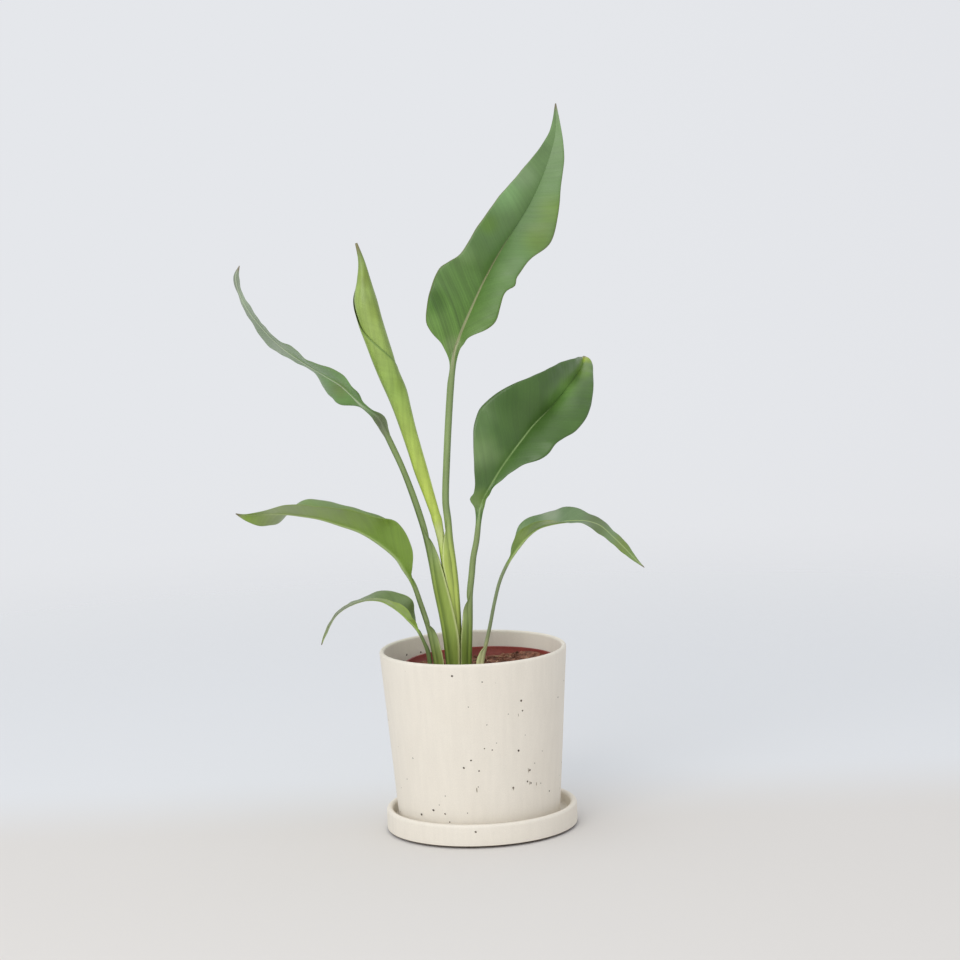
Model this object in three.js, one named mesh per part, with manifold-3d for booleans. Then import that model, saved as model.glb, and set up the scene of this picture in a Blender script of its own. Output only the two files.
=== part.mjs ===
// A young bird of paradise in a speckled stoneware pot on its saucer.
// Millimetres, +Z up. The origin is on the ground, under the middle of the cover pot.
// The plant is seen from -Y, with its fan of leaves spread along X.

import * as THREE from 'three';
import { ConvexGeometry } from 'three/addons/geometries/ConvexGeometry.js';
import { mergeVertices } from 'three/addons/utils/BufferGeometryUtils.js';
import Module from 'manifold-3d';

// Pot and saucer sizes
const potTopRadius = 75;
const potFootRadius = 65;
const potTopHeight = 147;
const potWall = 4;
const potFloor = 6;
const potDrainRadius = 6;
const saucerCentre = [2, 0];
const saucerRadius = 77;
const saucerFootRadius = 73;
const saucerHeight = 19;
const saucerFloor = 8;
const saucerRim = 5.2;
const saucerFillet = 2.5;
const footGroove = 1.5;
const lipRounding = 1.9;
const lipTaper = 2;
const footRounding = 1.4;
const potFillet = 3;

// Nursery pot sizes, with the pot standing a little to the right in its cover pot
const nurseryCentre = [6, 1];
const nurseryRimRadius = 62;
const nurseryFootRadius = 46;
const nurseryTopHeight = 135;
const nurseryWall = 1.4;
const nurseryFloor = 1.8;
const nurseryRimBand = 9;
const nurseryRimStep = 1.6;
const nurseryRimWall = 1.6;
const nurseryRimEdge = 0.6;
const nurseryDrainRadius = 4;
const nurseryDrainRing = 28;
const nurseryDrains = 5;

// Soil, rootstock and the gaps kept between pieces
const soilTopHeight = 127.5;
const rightBank = { height: 5.5, start: 12, end: 50 };
const leftBank = { height: 3, start: 20, end: 50 };
const broadLumps = 0.66;
const fineLumps = 0.44;
const soilSideGap = 0.9;
const soilRings = 7;
const soilSteps = 28;
const seatGap = 0.3;
const stemGap = 0.56;
const stemFootHeight = 104.5;
const stemHoleTop = 138;
const crownCentre = [-14, 0];
const crownHalfLength = 24;
const crownHalfWidth = 10;
const crownDepth = 22;
const rootCount = 6;
const rootRadius = 2.6;
const rootStart = 4;
const rootStartDepth = 10;
const rootSpread = 18;
const rootBendDepth = 14;
const rootEndSpread = 16.5;
const rootEndDepth = 44;
const rootEndStagger = 4.5;

// Leaf blade thickness and how finely the leaves are divided
const bladeThickness = 0.8;
const stalkStep = 16;
const bladeStep = 8;
const roundSteps = 36;

const wasm = await Module();
wasm.setup();

function material(colour, roughness) {
  return new THREE.MeshStandardMaterial({ color: colour, roughness, metalness: 0 });
}

const stoneware = material(0xe2dccb, 0.75);
const redPlastic = material(0x7f382f, 0.5);
const soilBrown = material(0x3b2b20, 0.95);
const rootCream = material(0xb9a27e, 0.8);
const leafGreen = material(0x5b8a45, 0.45);
const darkGreen = material(0x3f7043, 0.4);
const youngGreen = material(0x9fbf5c, 0.45);

// A closed mesh as a manifold solid, and back
function solidFrom(geometry) {
  const bare = geometry.clone();
  bare.deleteAttribute('normal');
  bare.deleteAttribute('uv');
  const merged = mergeVertices(bare, 1e-4);
  const corners = merged.index.array;
  const faces = [];
  for (let i = 0; i < corners.length; i += 3) {
    const [a, b, c] = [corners[i], corners[i + 1], corners[i + 2]];
    if (a !== b && b !== c && c !== a) {
      faces.push(a, b, c);
    }
  }
  return new wasm.Manifold(new wasm.Mesh({
    numProp: 3,
    vertProperties: new Float32Array(merged.attributes.position.array),
    triVerts: new Uint32Array(faces),
  }));
}

function geometryFrom(solid) {
  const mesh = solid.getMesh();
  const geometry = new THREE.BufferGeometry();
  geometry.setAttribute('position', new THREE.BufferAttribute(mesh.vertProperties, 3));
  geometry.setIndex(new THREE.BufferAttribute(mesh.triVerts, 1));
  geometry.computeVertexNormals();
  return geometry;
}

// A turned piece from a closed outline of [radius, height] points, standing along Z
function turned(outline, steps = roundSteps) {
  const points = outline.map(([radius, height]) => new THREE.Vector2(radius, height));
  const geometry = new THREE.LatheGeometry(points, steps);
  geometry.rotateX(Math.PI / 2);
  return geometry;
}

// Points on a quarter or half round between two angles in degrees
function arc(centreRadius, centreHeight, radius, from, to, steps) {
  const points = [];
  for (let step = 0; step <= steps; step += 1) {
    const angle = THREE.MathUtils.degToRad(from + ((to - from) * step) / steps);
    points.push([centreRadius + radius * Math.cos(angle), centreHeight + radius * Math.sin(angle)]);
  }
  return points;
}

function drill(x, y, radius, bottom, top) {
  const geometry = new THREE.CylinderGeometry(radius, radius, top - bottom, 16);
  geometry.rotateX(Math.PI / 2);
  geometry.translate(x, y, (top + bottom) / 2);
  return solidFrom(geometry);
}

// Saucer: a low dish with a rounded rim on a slightly recessed foot
function saucer() {
  const innerRadius = saucerRadius - saucerRim;
  const lip = saucerRim / 2;
  const dish = turned([
    [0, 0],
    [saucerFootRadius, 0],
    [saucerFootRadius, footGroove],
    ...arc(saucerRadius - footRounding, footGroove + footRounding, footRounding, -90, 0, 2),
    ...arc(saucerRadius - lip, saucerHeight - lip, lip, 0, 180, 4),
    ...arc(innerRadius - saucerFillet, saucerFloor + saucerFillet, saucerFillet, 0, -90, 2),
    [0, saucerFloor],
  ]);
  return dish.translate(saucerCentre[0], saucerCentre[1], 0);
}

// Cover pot: a plain tapered cylinder with a rounded lip and one drain hole
function coverPot() {
  const foot = saucerFloor;
  const inside = foot + potFloor;
  const innerFoot = potFootRadius - potWall;
  const innerTop = potTopHeight - 2 * lipRounding - lipTaper;
  const body = turned([
    [0, foot],
    ...arc(potFootRadius - footRounding, foot + footRounding, footRounding, -90, 0, 2),
    ...arc(potTopRadius - lipRounding, potTopHeight - lipRounding, lipRounding, 0, 180, 4),
    [potTopRadius - potWall, innerTop],
    ...arc(innerFoot - potFillet, inside + potFillet, potFillet, 0, -90, 2),
    [0, inside],
  ]);
  const hole = drill(0, 0, potDrainRadius, foot - 1, inside + 1);
  return geometryFrom(solidFrom(body).subtract(hole));
}

// Radius of the nursery pot's outer wall at a height above its foot
function nurseryRadius(height) {
  const foot = saucerFloor + potFloor;
  const share = (height - foot) / (nurseryTopHeight - foot);
  return nurseryFootRadius + (nurseryRimRadius - nurseryRimStep - nurseryFootRadius) * share;
}

// Nursery pot: thin tapered plastic with a stepped rim band and drain holes
function nurseryPot() {
  const foot = saucerFloor + potFloor;
  const floor = foot + nurseryFloor;
  const band = nurseryTopHeight - nurseryRimBand;
  const body = turned([
    [0, foot],
    [nurseryFootRadius, foot],
    [nurseryRadius(band), band],
    [nurseryRimRadius, band + nurseryRimEdge],
    [nurseryRimRadius, nurseryTopHeight - nurseryRimEdge],
    [nurseryRimRadius - nurseryRimEdge, nurseryTopHeight],
    [nurseryRimRadius - nurseryRimWall, nurseryTopHeight],
    [nurseryRimRadius - nurseryRimWall, band + nurseryRimEdge],
    [nurseryRadius(band) - nurseryWall, band],
    [nurseryRadius(floor) - nurseryWall, floor],
    [0, floor],
  ]);
  let solid = solidFrom(body);
  for (let drain = 0; drain < nurseryDrains; drain += 1) {
    const angle = (2 * Math.PI * drain) / nurseryDrains;
    const x = nurseryDrainRing * Math.cos(angle);
    const y = nurseryDrainRing * Math.sin(angle);
    solid = solid.subtract(drill(x, y, nurseryDrainRadius, foot - 1, floor + 1));
  }
  const geometry = geometryFrom(solid);
  geometry.translate(nurseryCentre[0], nurseryCentre[1], 0);
  return geometry;
}

// Height of the soil surface, with broad and fine lumps, banked up against the pot's sides
function soilHeight(x, y) {
  const right = rightBank.height * THREE.MathUtils.smoothstep(x, rightBank.start, rightBank.end);
  const left = leftBank.height * THREE.MathUtils.smoothstep(-x, leftBank.start, leftBank.end);
  const broad = Math.sin(0.11 * x + 0.6) * Math.cos(0.13 * y - 0.4);
  const fine = Math.sin(0.41 * x + 0.35 * y) * Math.cos(0.37 * y - 0.29 * x + 1.1);
  return soilTopHeight + right + left + broadLumps * broad + fineLumps * fine;
}

// The soil block: a tapered plug with a lumpy top, before its holes are cut
function soilBlock() {
  const [rings, steps] = [soilRings, soilSteps];
  const bottom = saucerFloor + potFloor + nurseryFloor + seatGap;
  const edge = nurseryRadius(soilTopHeight) - nurseryWall - soilSideGap;
  const bottomEdge = nurseryRadius(bottom) - nurseryWall - soilSideGap;
  const [cx, cy] = nurseryCentre;
  const positions = [cx, cy, soilHeight(cx, cy)];
  for (let ring = 1; ring <= rings; ring += 1) {
    const radius = (edge * ring) / rings;
    for (let step = 0; step < steps; step += 1) {
      const angle = (2 * Math.PI * (step + (ring % 2) / 2)) / steps;
      const x = cx + radius * Math.cos(angle);
      const y = cy + radius * Math.sin(angle);
      positions.push(x, y, soilHeight(x, y));
    }
  }
  for (let step = 0; step < steps; step += 1) {
    const angle = (2 * Math.PI * (step + (rings % 2) / 2)) / steps;
    positions.push(cx + bottomEdge * Math.cos(angle), cy + bottomEdge * Math.sin(angle), bottom);
  }
  positions.push(cx, cy, bottom);
  const last = positions.length / 3 - 1;
  const faces = [];
  for (let step = 0; step < steps; step += 1) {
    const next = (step + 1) % steps;
    faces.push(0, 1 + step, 1 + next);
    for (let ring = 1; ring <= rings; ring += 1) {
      const inner = 1 + (ring - 1) * steps;
      const outer = inner + steps;
      faces.push(inner + step, outer + step, outer + next);
      faces.push(inner + step, outer + next, inner + next);
    }
    const rim = 1 + rings * steps;
    faces.push(last, rim + next, rim + step);
  }
  const geometry = new THREE.BufferGeometry();
  geometry.setAttribute('position', new THREE.Float32BufferAttribute(positions, 3));
  geometry.setIndex(faces);
  return geometry;
}

// Rootstock: a short thick crown under the leaf stalks, with fleshy roots, all grown by a margin
function rootstock(margin) {
  const top = stemFootHeight - seatGap + margin;
  const crown = new THREE.SphereGeometry(1, 16, 8);
  crown.scale(crownHalfLength + margin, crownHalfWidth + margin, crownDepth + margin);
  crown.translate(crownCentre[0], crownCentre[1], top - margin);
  const lid = new THREE.BoxGeometry(200, 200, 100);
  lid.translate(0, 0, top + 50);
  let solid = solidFrom(crown).subtract(solidFrom(lid));
  for (let root = 0; root < rootCount; root += 1) {
    const angle = (2 * Math.PI * (root + 0.5)) / rootCount;
    const out = new THREE.Vector3(Math.cos(angle), Math.sin(angle), 0);
    const start = new THREE.Vector3(crownCentre[0], crownCentre[1], top - margin - rootStartDepth);
    start.addScaledVector(out, rootStart);
    const bend = start.clone().addScaledVector(out, rootSpread);
    bend.z -= rootBendDepth;
    const end = start.clone().addScaledVector(out, rootEndSpread);
    end.z -= rootEndDepth + rootEndStagger * (root % 2) + margin;
    const path = new THREE.QuadraticBezierCurve3(start, bend, end);
    const section = new THREE.Shape();
    section.absarc(0, 0, rootRadius + margin, 0, 2 * Math.PI);
    const tube = new THREE.ExtrudeGeometry(section, {
      steps: 8, bevelEnabled: false, extrudePath: path, curveSegments: 4,
    });
    solid = solid.add(solidFrom(tube));
  }
  return solid;
}

// The leaves. Each row is a place along the leaf: where the midrib runs, the radius of the
// stalk or midrib there, and for each half of the blade or sheath [width, angle, curl].
// Angles are in degrees: 0 lies flat in the plane seen from -Y, 90 points at the viewer and
// -90 away. Curl bends the margin up towards the upper face. A stalk is a row as wide as its radius.

const smallLeftLeaf = {
  halfPoints: 3,
  stalk: [
    { at: [-35.2, 0, stemFootHeight], rib: 1.8, left: [1.8, 180, 0], right: [1.8, -180, 0] },
    { at: [-35.2, 0, 120.5], rib: 1.8, left: [1.8, 180, 0], right: [1.8, -180, 0] },
    { at: [-35, 0, 132.5], rib: 1.8, left: [1.8, 180, 0], right: [1.8, -180, 0] },
    { at: [-36.2, 0, 144.5], rib: 1.8, left: [1.8, 180, 0], right: [1.8, -180, 0] },
    { at: [-39.4, -1, 153.5], rib: 1.4, left: [1.4, 180, 0], right: [1.4, -180, 0] },
    { at: [-42.8, -2, 161.5], rib: 1.4, left: [1.5, 120, 0], right: [1.5, -120, 0] },
  ],
  blade: [
    { at: [-46.5, -3, 167], rib: 1.4, left: [4.5, 130, 0], right: [7, -65, 0] },
    { at: [-50.5, -4, 171.5], rib: 1.3, left: [9, 120, 0], right: [11, -48, 10] },
    { at: [-56.5, -5, 178], rib: 1.2, left: [13, 123, 10], right: [14, -18, 0] },
    { at: [-64, -6, 184.3], rib: 1.2, left: [13.5, 118, 10], right: [13.5, -41, -10] },
    { at: [-72.5, -8, 189], rib: 1.1, left: [12.5, 110, 0], right: [13, -66, -10] },
    { at: [-84, -10, 190.2], rib: 1, left: [11, 102, 0], right: [11.5, -86, 0] },
    { at: [-97, -12, 186.5], rib: 0.8, left: [10, 106, 0], right: [10, -88, 0] },
    { at: [-106.5, -14, 180.8], rib: 0.7, left: [8.5, 107, 0], right: [8.5, -94, 0] },
    { at: [-113, -15, 172.8], rib: 0.7, left: [6.5, 104, 0], right: [6.5, -102, 0] },
    { at: [-117, -16, 165], rib: 0.6, left: [3.5, 108, 0], right: [3.5, -108, 0] },
    { at: [-120.5, -16, 156.5], rib: 0.4, left: [0.5, 130, 0], right: [0.5, -100, 0] },
  ],
};

const longLeftLeaf = {
  halfPoints: 3,
  stalk: [
    { at: [-29.2, 0, stemFootHeight], rib: 2.1, left: [6, 145, 50], right: [6, -35, 50] },
    { at: [-29.2, 0, 120.5], rib: 2.1, left: [6, 145, 50], right: [6, -35, 50] },
    { at: [-29.8, 0, 133.5], rib: 2.1, left: [7.6, 145, 50], right: [7, -35, 50] },
    { at: [-31.8, 0, 147.5], rib: 2.1, left: [7.4, 145, 50], right: [7, -35, 50] },
    { at: [-34.2, 0, 160.5], rib: 2.1, left: [5, 145, 30], right: [5, -35, 30] },
    { at: [-36, 0, 168.5], rib: 2.2, left: [2.3, 90, 0], right: [2.3, -90, 0] },
    { at: [-41.2, 0, 186.5], rib: 2.1, left: [2.1, 90, 0], right: [2.1, -90, 0] },
    { at: [-44.8, 0, 198.5], rib: 2, left: [2, 90, 0], right: [2, -90, 0] },
  ],
  blade: [
    { at: [-48.3, 0, 206], rib: 2, left: [3.5, 120, 0], right: [4, -60, 0] },
    { at: [-52, -1, 212], rib: 1.9, left: [10, 137, 0], right: [9.5, -47, 0] },
    { at: [-58, -1, 222.1], rib: 1.8, left: [20, 145, 10], right: [19, -44, 10] },
    { at: [-71.2, -2, 234.5], rib: 1.7, left: [27, 151, 10], right: [25, -46, 0] },
    { at: [-86, -4, 244.8], rib: 1.6, left: [27, 134, 0], right: [27, -61, -10] },
    { at: [-102, -6, 251.5], rib: 1.5, left: [27, 129, 0], right: [27, -63, -15] },
    { at: [-117.5, -9, 257.5], rib: 1.4, left: [26, 123, 0], right: [26, -65, -15] },
    { at: [-130.5, -12, 260.7], rib: 1.3, left: [24, 108, 0], right: [24, -69, -15] },
    { at: [-142.5, -15, 263], rib: 1.1, left: [20, 107, 0], right: [20, -113, -10] },
    { at: [-155, -18, 264], rib: 1, left: [15, 114, 0], right: [15, -137, 0] },
    { at: [-166, -20, 264.5], rib: 0.9, left: [10.5, 107, 0], right: [11, -155, 0] },
    { at: [-175, -21, 264.5], rib: 0.7, left: [5.5, 104, 0], right: [5.2, -165, 0] },
    { at: [-183, -22, 266], rib: 0.4, left: [0.5, 95, 0], right: [0.5, -165, 0] },
  ],
};

const farLeftLeaf = {
  halfPoints: 3,
  stalk: [
    { at: [-20, 0, stemFootHeight], rib: 2.2, left: [10.5, 145, 55], right: [10.5, -35, 55] },
    { at: [-20, 0, 120.5], rib: 2.2, left: [10.5, 145, 55], right: [10.5, -35, 55] },
    { at: [-20, 0, 133.5], rib: 2.2, left: [11, 145, 55], right: [11, -35, 55] },
    { at: [-21.4, 0, 153.5], rib: 2.2, left: [13.2, 145, 55], right: [12, -35, 55] },
    { at: [-23.8, 0, 173.5], rib: 2.3, left: [12.6, 145, 55], right: [12, -35, 55] },
    { at: [-27.2, 0, 194.5], rib: 2.4, left: [11.4, 145, 55], right: [11, -35, 55] },
    { at: [-29.8, 0, 214.5], rib: 2.5, left: [8.8, 145, 50], right: [8.5, -35, 50] },
    { at: [-32.2, 0, 230.5], rib: 2.6, left: [5.4, 145, 30], right: [5, -35, 30] },
    { at: [-34.8, 0, 243.5], rib: 2.6, left: [2.8, 90, 0], right: [2.8, -90, 0] },
    { at: [-41.4, 0, 267.5], rib: 2.6, left: [2.6, 90, 0], right: [2.6, -90, 0] },
    { at: [-49.6, 0, 292.5], rib: 2.4, left: [2.4, 90, 0], right: [2.4, -90, 0] },
    { at: [-57.8, 0, 312.7], rib: 2.5, left: [2.6, 120, 0], right: [2.6, -120, 0] },
    { at: [-62.6, 0, 324.1], rib: 2.4, left: [3.4, 160, 0], right: [3.4, -160, 0] },
  ],
  blade: [
    { at: [-66.3, 1, 333.1], rib: 2, left: [5.6, 150, 0], right: [4.8, -160, 0] },
    { at: [-73, 3, 339.5], rib: 1.7, left: [4.2, 130, 0], right: [3.8, -145, 0] },
    { at: [-81, 5, 346], rib: 1.6, left: [4.5, 130, 0], right: [4.6, -135, 0] },
    { at: [-88, 6, 354], rib: 1.6, left: [14, 115, 10], right: [15, -146, 10] },
    { at: [-97, 8, 362.5], rib: 1.6, left: [20, 118, 10], right: [20, -138, 10] },
    { at: [-108, 11, 369.5], rib: 1.5, left: [25, 109, 10], right: [25, -121, 10] },
    { at: [-120, 15, 377], rib: 1.4, left: [27, 103, 5], right: [27, -104, 5] },
    { at: [-133, 19, 385.5], rib: 1.3, left: [27, 107, 0], right: [27, -103, 0] },
    { at: [-146, 23, 396], rib: 1.2, left: [25, 100, 0], right: [25, -110, 0] },
    { at: [-157.5, 28, 408], rib: 1.1, left: [21, 102, 0], right: [21, -113, 0] },
    { at: [-168, 31, 422], rib: 1, left: [15.5, 105, 0], right: [15.5, -108, 0] },
    { at: [-175, 34, 436.5], rib: 0.8, left: [10, 108, 0], right: [10, -107, 0] },
    { at: [-177.5, 37, 449], rib: 0.7, left: [5.5, 118, 0], right: [5.5, -118, 0] },
    { at: [-174.5, 38, 458], rib: 0.4, left: [0.5, 120, 0], right: [0.5, -120, 0] },
  ],
};

const tallLeaf = {
  halfPoints: 4,
  stalk: [
    { at: [-9.6, 0, stemFootHeight], rib: 2.2, left: [7.5, -35, 55], right: [7.5, 145, 55] },
    { at: [-9.6, 0, 120.5], rib: 2.2, left: [7.5, -35, 55], right: [7.5, 145, 55] },
    { at: [-9.8, 0, 133.5], rib: 2.3, left: [7.5, -35, 55], right: [7.5, 145, 55] },
    { at: [-10.8, 0, 152.5], rib: 2.4, left: [8, -35, 55], right: [8, 145, 55] },
    { at: [-10.9, 0, 170.5], rib: 2.5, left: [8, -35, 55], right: [8, 145, 55] },
    { at: [-11.3, 0, 186.5], rib: 2.6, left: [7.5, -35, 50], right: [7.8, 145, 50] },
    { at: [-12, 0, 202.5], rib: 2.7, left: [6.5, -35, 45], right: [8.6, 145, 50] },
    { at: [-13.2, 0, 218.5], rib: 2.7, left: [5, -35, 35], right: [9.8, 145, 50] },
    { at: [-14.8, 0, 234.5], rib: 2.8, left: [3.4, -60, 10], right: [6.5, 140, 35] },
    { at: [-15.7, 0, 250.5], rib: 2.9, left: [2.9, -90, 0], right: [3, 110, 0] },
    { at: [-16.8, 0, 266.5], rib: 2.8, left: [2.8, -70, 0], right: [2.8, 70, 0] },
    { at: [-14.6, 0, 298.5], rib: 2.8, left: [2.8, -40, 0], right: [2.8, 40, 0] },
    { at: [-11.8, 0, 330.5], rib: 2.8, left: [2.8, -15, 0], right: [2.8, 15, 0] },
    { at: [-8.9, 0, 358.5], rib: 2.8, left: [2.8, 0, 0], right: [2.8, 0, 0] },
    { at: [-6.4, 0, 376.5], rib: 2.8, left: [2.8, 0, 0], right: [2.8, 10, 0] },
  ],
  blade: [
    { at: [-3.5, 0, 388.5], rib: 2.6, left: [12, 5, 0], right: [4, 30, 0] },
    { at: [-1.6, 0, 393.2], rib: 2.5, left: [22.5, 5, -5], right: [6, 36, -5] },
    { at: [0.5, 0, 398.5], rib: 2.4, left: [29, 5, -10], right: [9, 42, -10] },
    { at: [5, 1, 408.5], rib: 2.2, left: [33.5, 5, -10], right: [19.5, 30, -15] },
    { at: [9.5, 2, 417.5], rib: 2.1, left: [36, 5, -10], right: [24.5, 31, -20] },
    { at: [18, 4, 434.5], rib: 1.9, left: [37, 10, -15], right: [22.5, 33, -20] },
    { at: [21.5, 4.7, 441], rib: 1.9, left: [33, 14, -18], right: [23, 32, -20] },
    { at: [24.5, 5.3, 446.3], rib: 1.8, left: [30.5, 22, -22], right: [26, 28, -20] },
    { at: [28, 6, 452.5], rib: 1.8, left: [29, 26, -25], right: [24.5, 29, -20] },
    { at: [39, 9, 469.5], rib: 1.6, left: [28.5, 25, -20], right: [26.5, 25, -20] },
    { at: [50, 12, 484.5], rib: 1.5, left: [27.5, 24, -15], right: [30.5, 14, -15] },
    { at: [60, 16, 499.5], rib: 1.3, left: [24.5, 22, -15], right: [25.5, 19, -10] },
    { at: [69.5, 20, 517.5], rib: 1.1, left: [18.5, 21, -10], right: [17.5, 19, -10] },
    { at: [77.5, 24, 536.5], rib: 0.9, left: [11.5, 22, 0], right: [12, 15, 0] },
    { at: [82.5, 27, 554.5], rib: 0.7, left: [5, 20, 0], right: [5.5, 20, 0] },
    { at: [83.6, 29, 577], rib: 0.4, left: [0.5, 30, 0], right: [0.5, 20, 0] },
  ],
};

const broadLeaf = {
  halfPoints: 4,
  stalk: [
    { at: [-3.7, 0, stemFootHeight], rib: 2.2, left: [7.8, -35, 50], right: [7.8, 145, 50] },
    { at: [-3.7, 0, 120.5], rib: 2.2, left: [7.8, -35, 50], right: [7.8, 145, 50] },
    { at: [-3.6, 0, 133.5], rib: 2.3, left: [8.2, -35, 50], right: [8.2, 145, 50] },
    { at: [-2.4, 0, 152.5], rib: 2.3, left: [8.6, -35, 50], right: [8.6, 145, 50] },
    { at: [-1.5, 0, 167.5], rib: 2.4, left: [7.4, -35, 50], right: [7.4, 145, 50] },
    { at: [-1.1, 0, 178.5], rib: 2.5, left: [5.6, -35, 40], right: [5.6, 145, 40] },
    { at: [-0.7, 0, 189.5], rib: 2.6, left: [2.8, -90, 0], right: [2.8, 90, 0] },
    { at: [1.5, 0, 205.5], rib: 2.6, left: [2.6, -70, 0], right: [2.6, 70, 0] },
    { at: [3.4, 0, 219.5], rib: 2.5, left: [2.5, -45, 0], right: [2.5, 45, 0] },
    { at: [6.6, 0, 233.5], rib: 2.4, left: [2.4, -20, 0], right: [2.4, 20, 0] },
    { at: [8.8, 0, 248.5], rib: 2.3, left: [2.3, 0, 0], right: [2.3, 10, 0] },
  ],
  blade: [
    { at: [10.5, 0, 258.5], rib: 2.3, left: [5, 20, 0], right: [3.5, 45, 0] },
    { at: [12.2, 0.5, 263], rib: 2.2, left: [11.5, 24, 0], right: [5, 65, 0] },
    { at: [14, 1, 267.5], rib: 2.2, left: [10.8, 34, 0], right: [8, 75, 0] },
    { at: [19, 2, 275.5], rib: 2.1, left: [16.5, 27, 0], right: [4, 50, 0] },
    { at: [27.5, 3.5, 288.5], rib: 2, left: [28, 23, -10], right: [9.5, 46, -10] },
    { at: [36, 5.5, 299.5], rib: 1.9, left: [39, 15, -15], right: [17, 42, -15] },
    { at: [44.5, 8.5, 309.5], rib: 1.8, left: [43, 8, -15], right: [26, 37, -20] },
    { at: [56, 13.5, 322.5], rib: 1.7, left: [40.5, 16, -20], right: [27.5, 35, -20] },
    { at: [72, 24.5, 336.5], rib: 1.5, left: [32, 29, -20], right: [30.5, 32, -20] },
    { at: [85, 42, 349], rib: 1.2, left: [23, 35, -15], right: [22.5, 35, -15] },
    { at: [95, 63, 358.5], rib: 0.9, left: [13, 41, -10], right: [12.5, 43, -10] },
    { at: [100, 84, 363.8], rib: 0.7, left: [5.5, 43, 0], right: [7, 41, 0] },
    { at: [101.3, 100, 367.7], rib: 0.4, left: [0.5, 60, 0], right: [0.5, 50, 0] },
  ],
};

const rightLeaf = {
  halfPoints: 3,
  stalk: [
    { at: [6.4, 0, stemFootHeight], rib: 1.8, left: [5, -35, 40], right: [5, 145, 40] },
    { at: [6.4, 0, 120.5], rib: 1.8, left: [5, -35, 40], right: [5, 145, 40] },
    { at: [6.6, 0, 132.5], rib: 1.8, left: [5.4, -35, 40], right: [5.4, 145, 40] },
    { at: [8.6, 0, 141.5], rib: 1.7, left: [3.6, -35, 30], right: [3.6, 145, 30] },
    { at: [10.6, 0, 148.5], rib: 1.6, left: [1.7, -90, 0], right: [1.7, 90, 0] },
    { at: [13.8, 0, 160.5], rib: 1.5, left: [1.5, -90, 0], right: [1.5, 90, 0] },
    { at: [19.2, 0, 183.5], rib: 1.4, left: [1.4, -90, 0], right: [1.4, 90, 0] },
    { at: [24.2, -1, 200.5], rib: 1.4, left: [1.4, -100, 0], right: [1.4, 100, 0] },
    { at: [31, -2, 214.5], rib: 1.4, left: [1.5, -100, 0], right: [1.5, 120, 0] },
  ],
  blade: [
    { at: [36.5, -3, 222.5], rib: 1.4, left: [5, -42, 0], right: [4, 140, 0] },
    { at: [42, -4, 229.5], rib: 1.4, left: [9, -40, 0], right: [9, 140, 0] },
    { at: [48.5, -5, 236.5], rib: 1.3, left: [13.5, -40, 10], right: [13.5, 132, 10] },
    { at: [57, -6, 242.3], rib: 1.2, left: [15.5, -57, 0], right: [15.5, 121, 10] },
    { at: [69, -8, 245.5], rib: 1.1, left: [17, -61, 0], right: [17, 108, 0] },
    { at: [82, -10, 247], rib: 1.1, left: [16.5, -54, 0], right: [17, 97, 0] },
    { at: [95, -13, 246.8], rib: 1, left: [15, -74, 0], right: [16, 89, 0] },
    { at: [105.5, -15, 243], rib: 0.9, left: [13.5, -76, 0], right: [13.5, 72, 0] },
    { at: [115.5, -17, 233.5], rib: 0.8, left: [10.5, -70, 0], right: [10.5, 68, 0] },
    { at: [124.5, -18, 224], rib: 0.7, left: [7, -62, 0], right: [7, 65, 0] },
    { at: [132, -19, 215.5], rib: 0.5, left: [3, -55, 0], right: [3, 60, 0] },
    { at: [139, -20, 209], rib: 0.3, left: [0.5, -72, 0], right: [0.5, 60, 0] },
  ],
};

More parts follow.
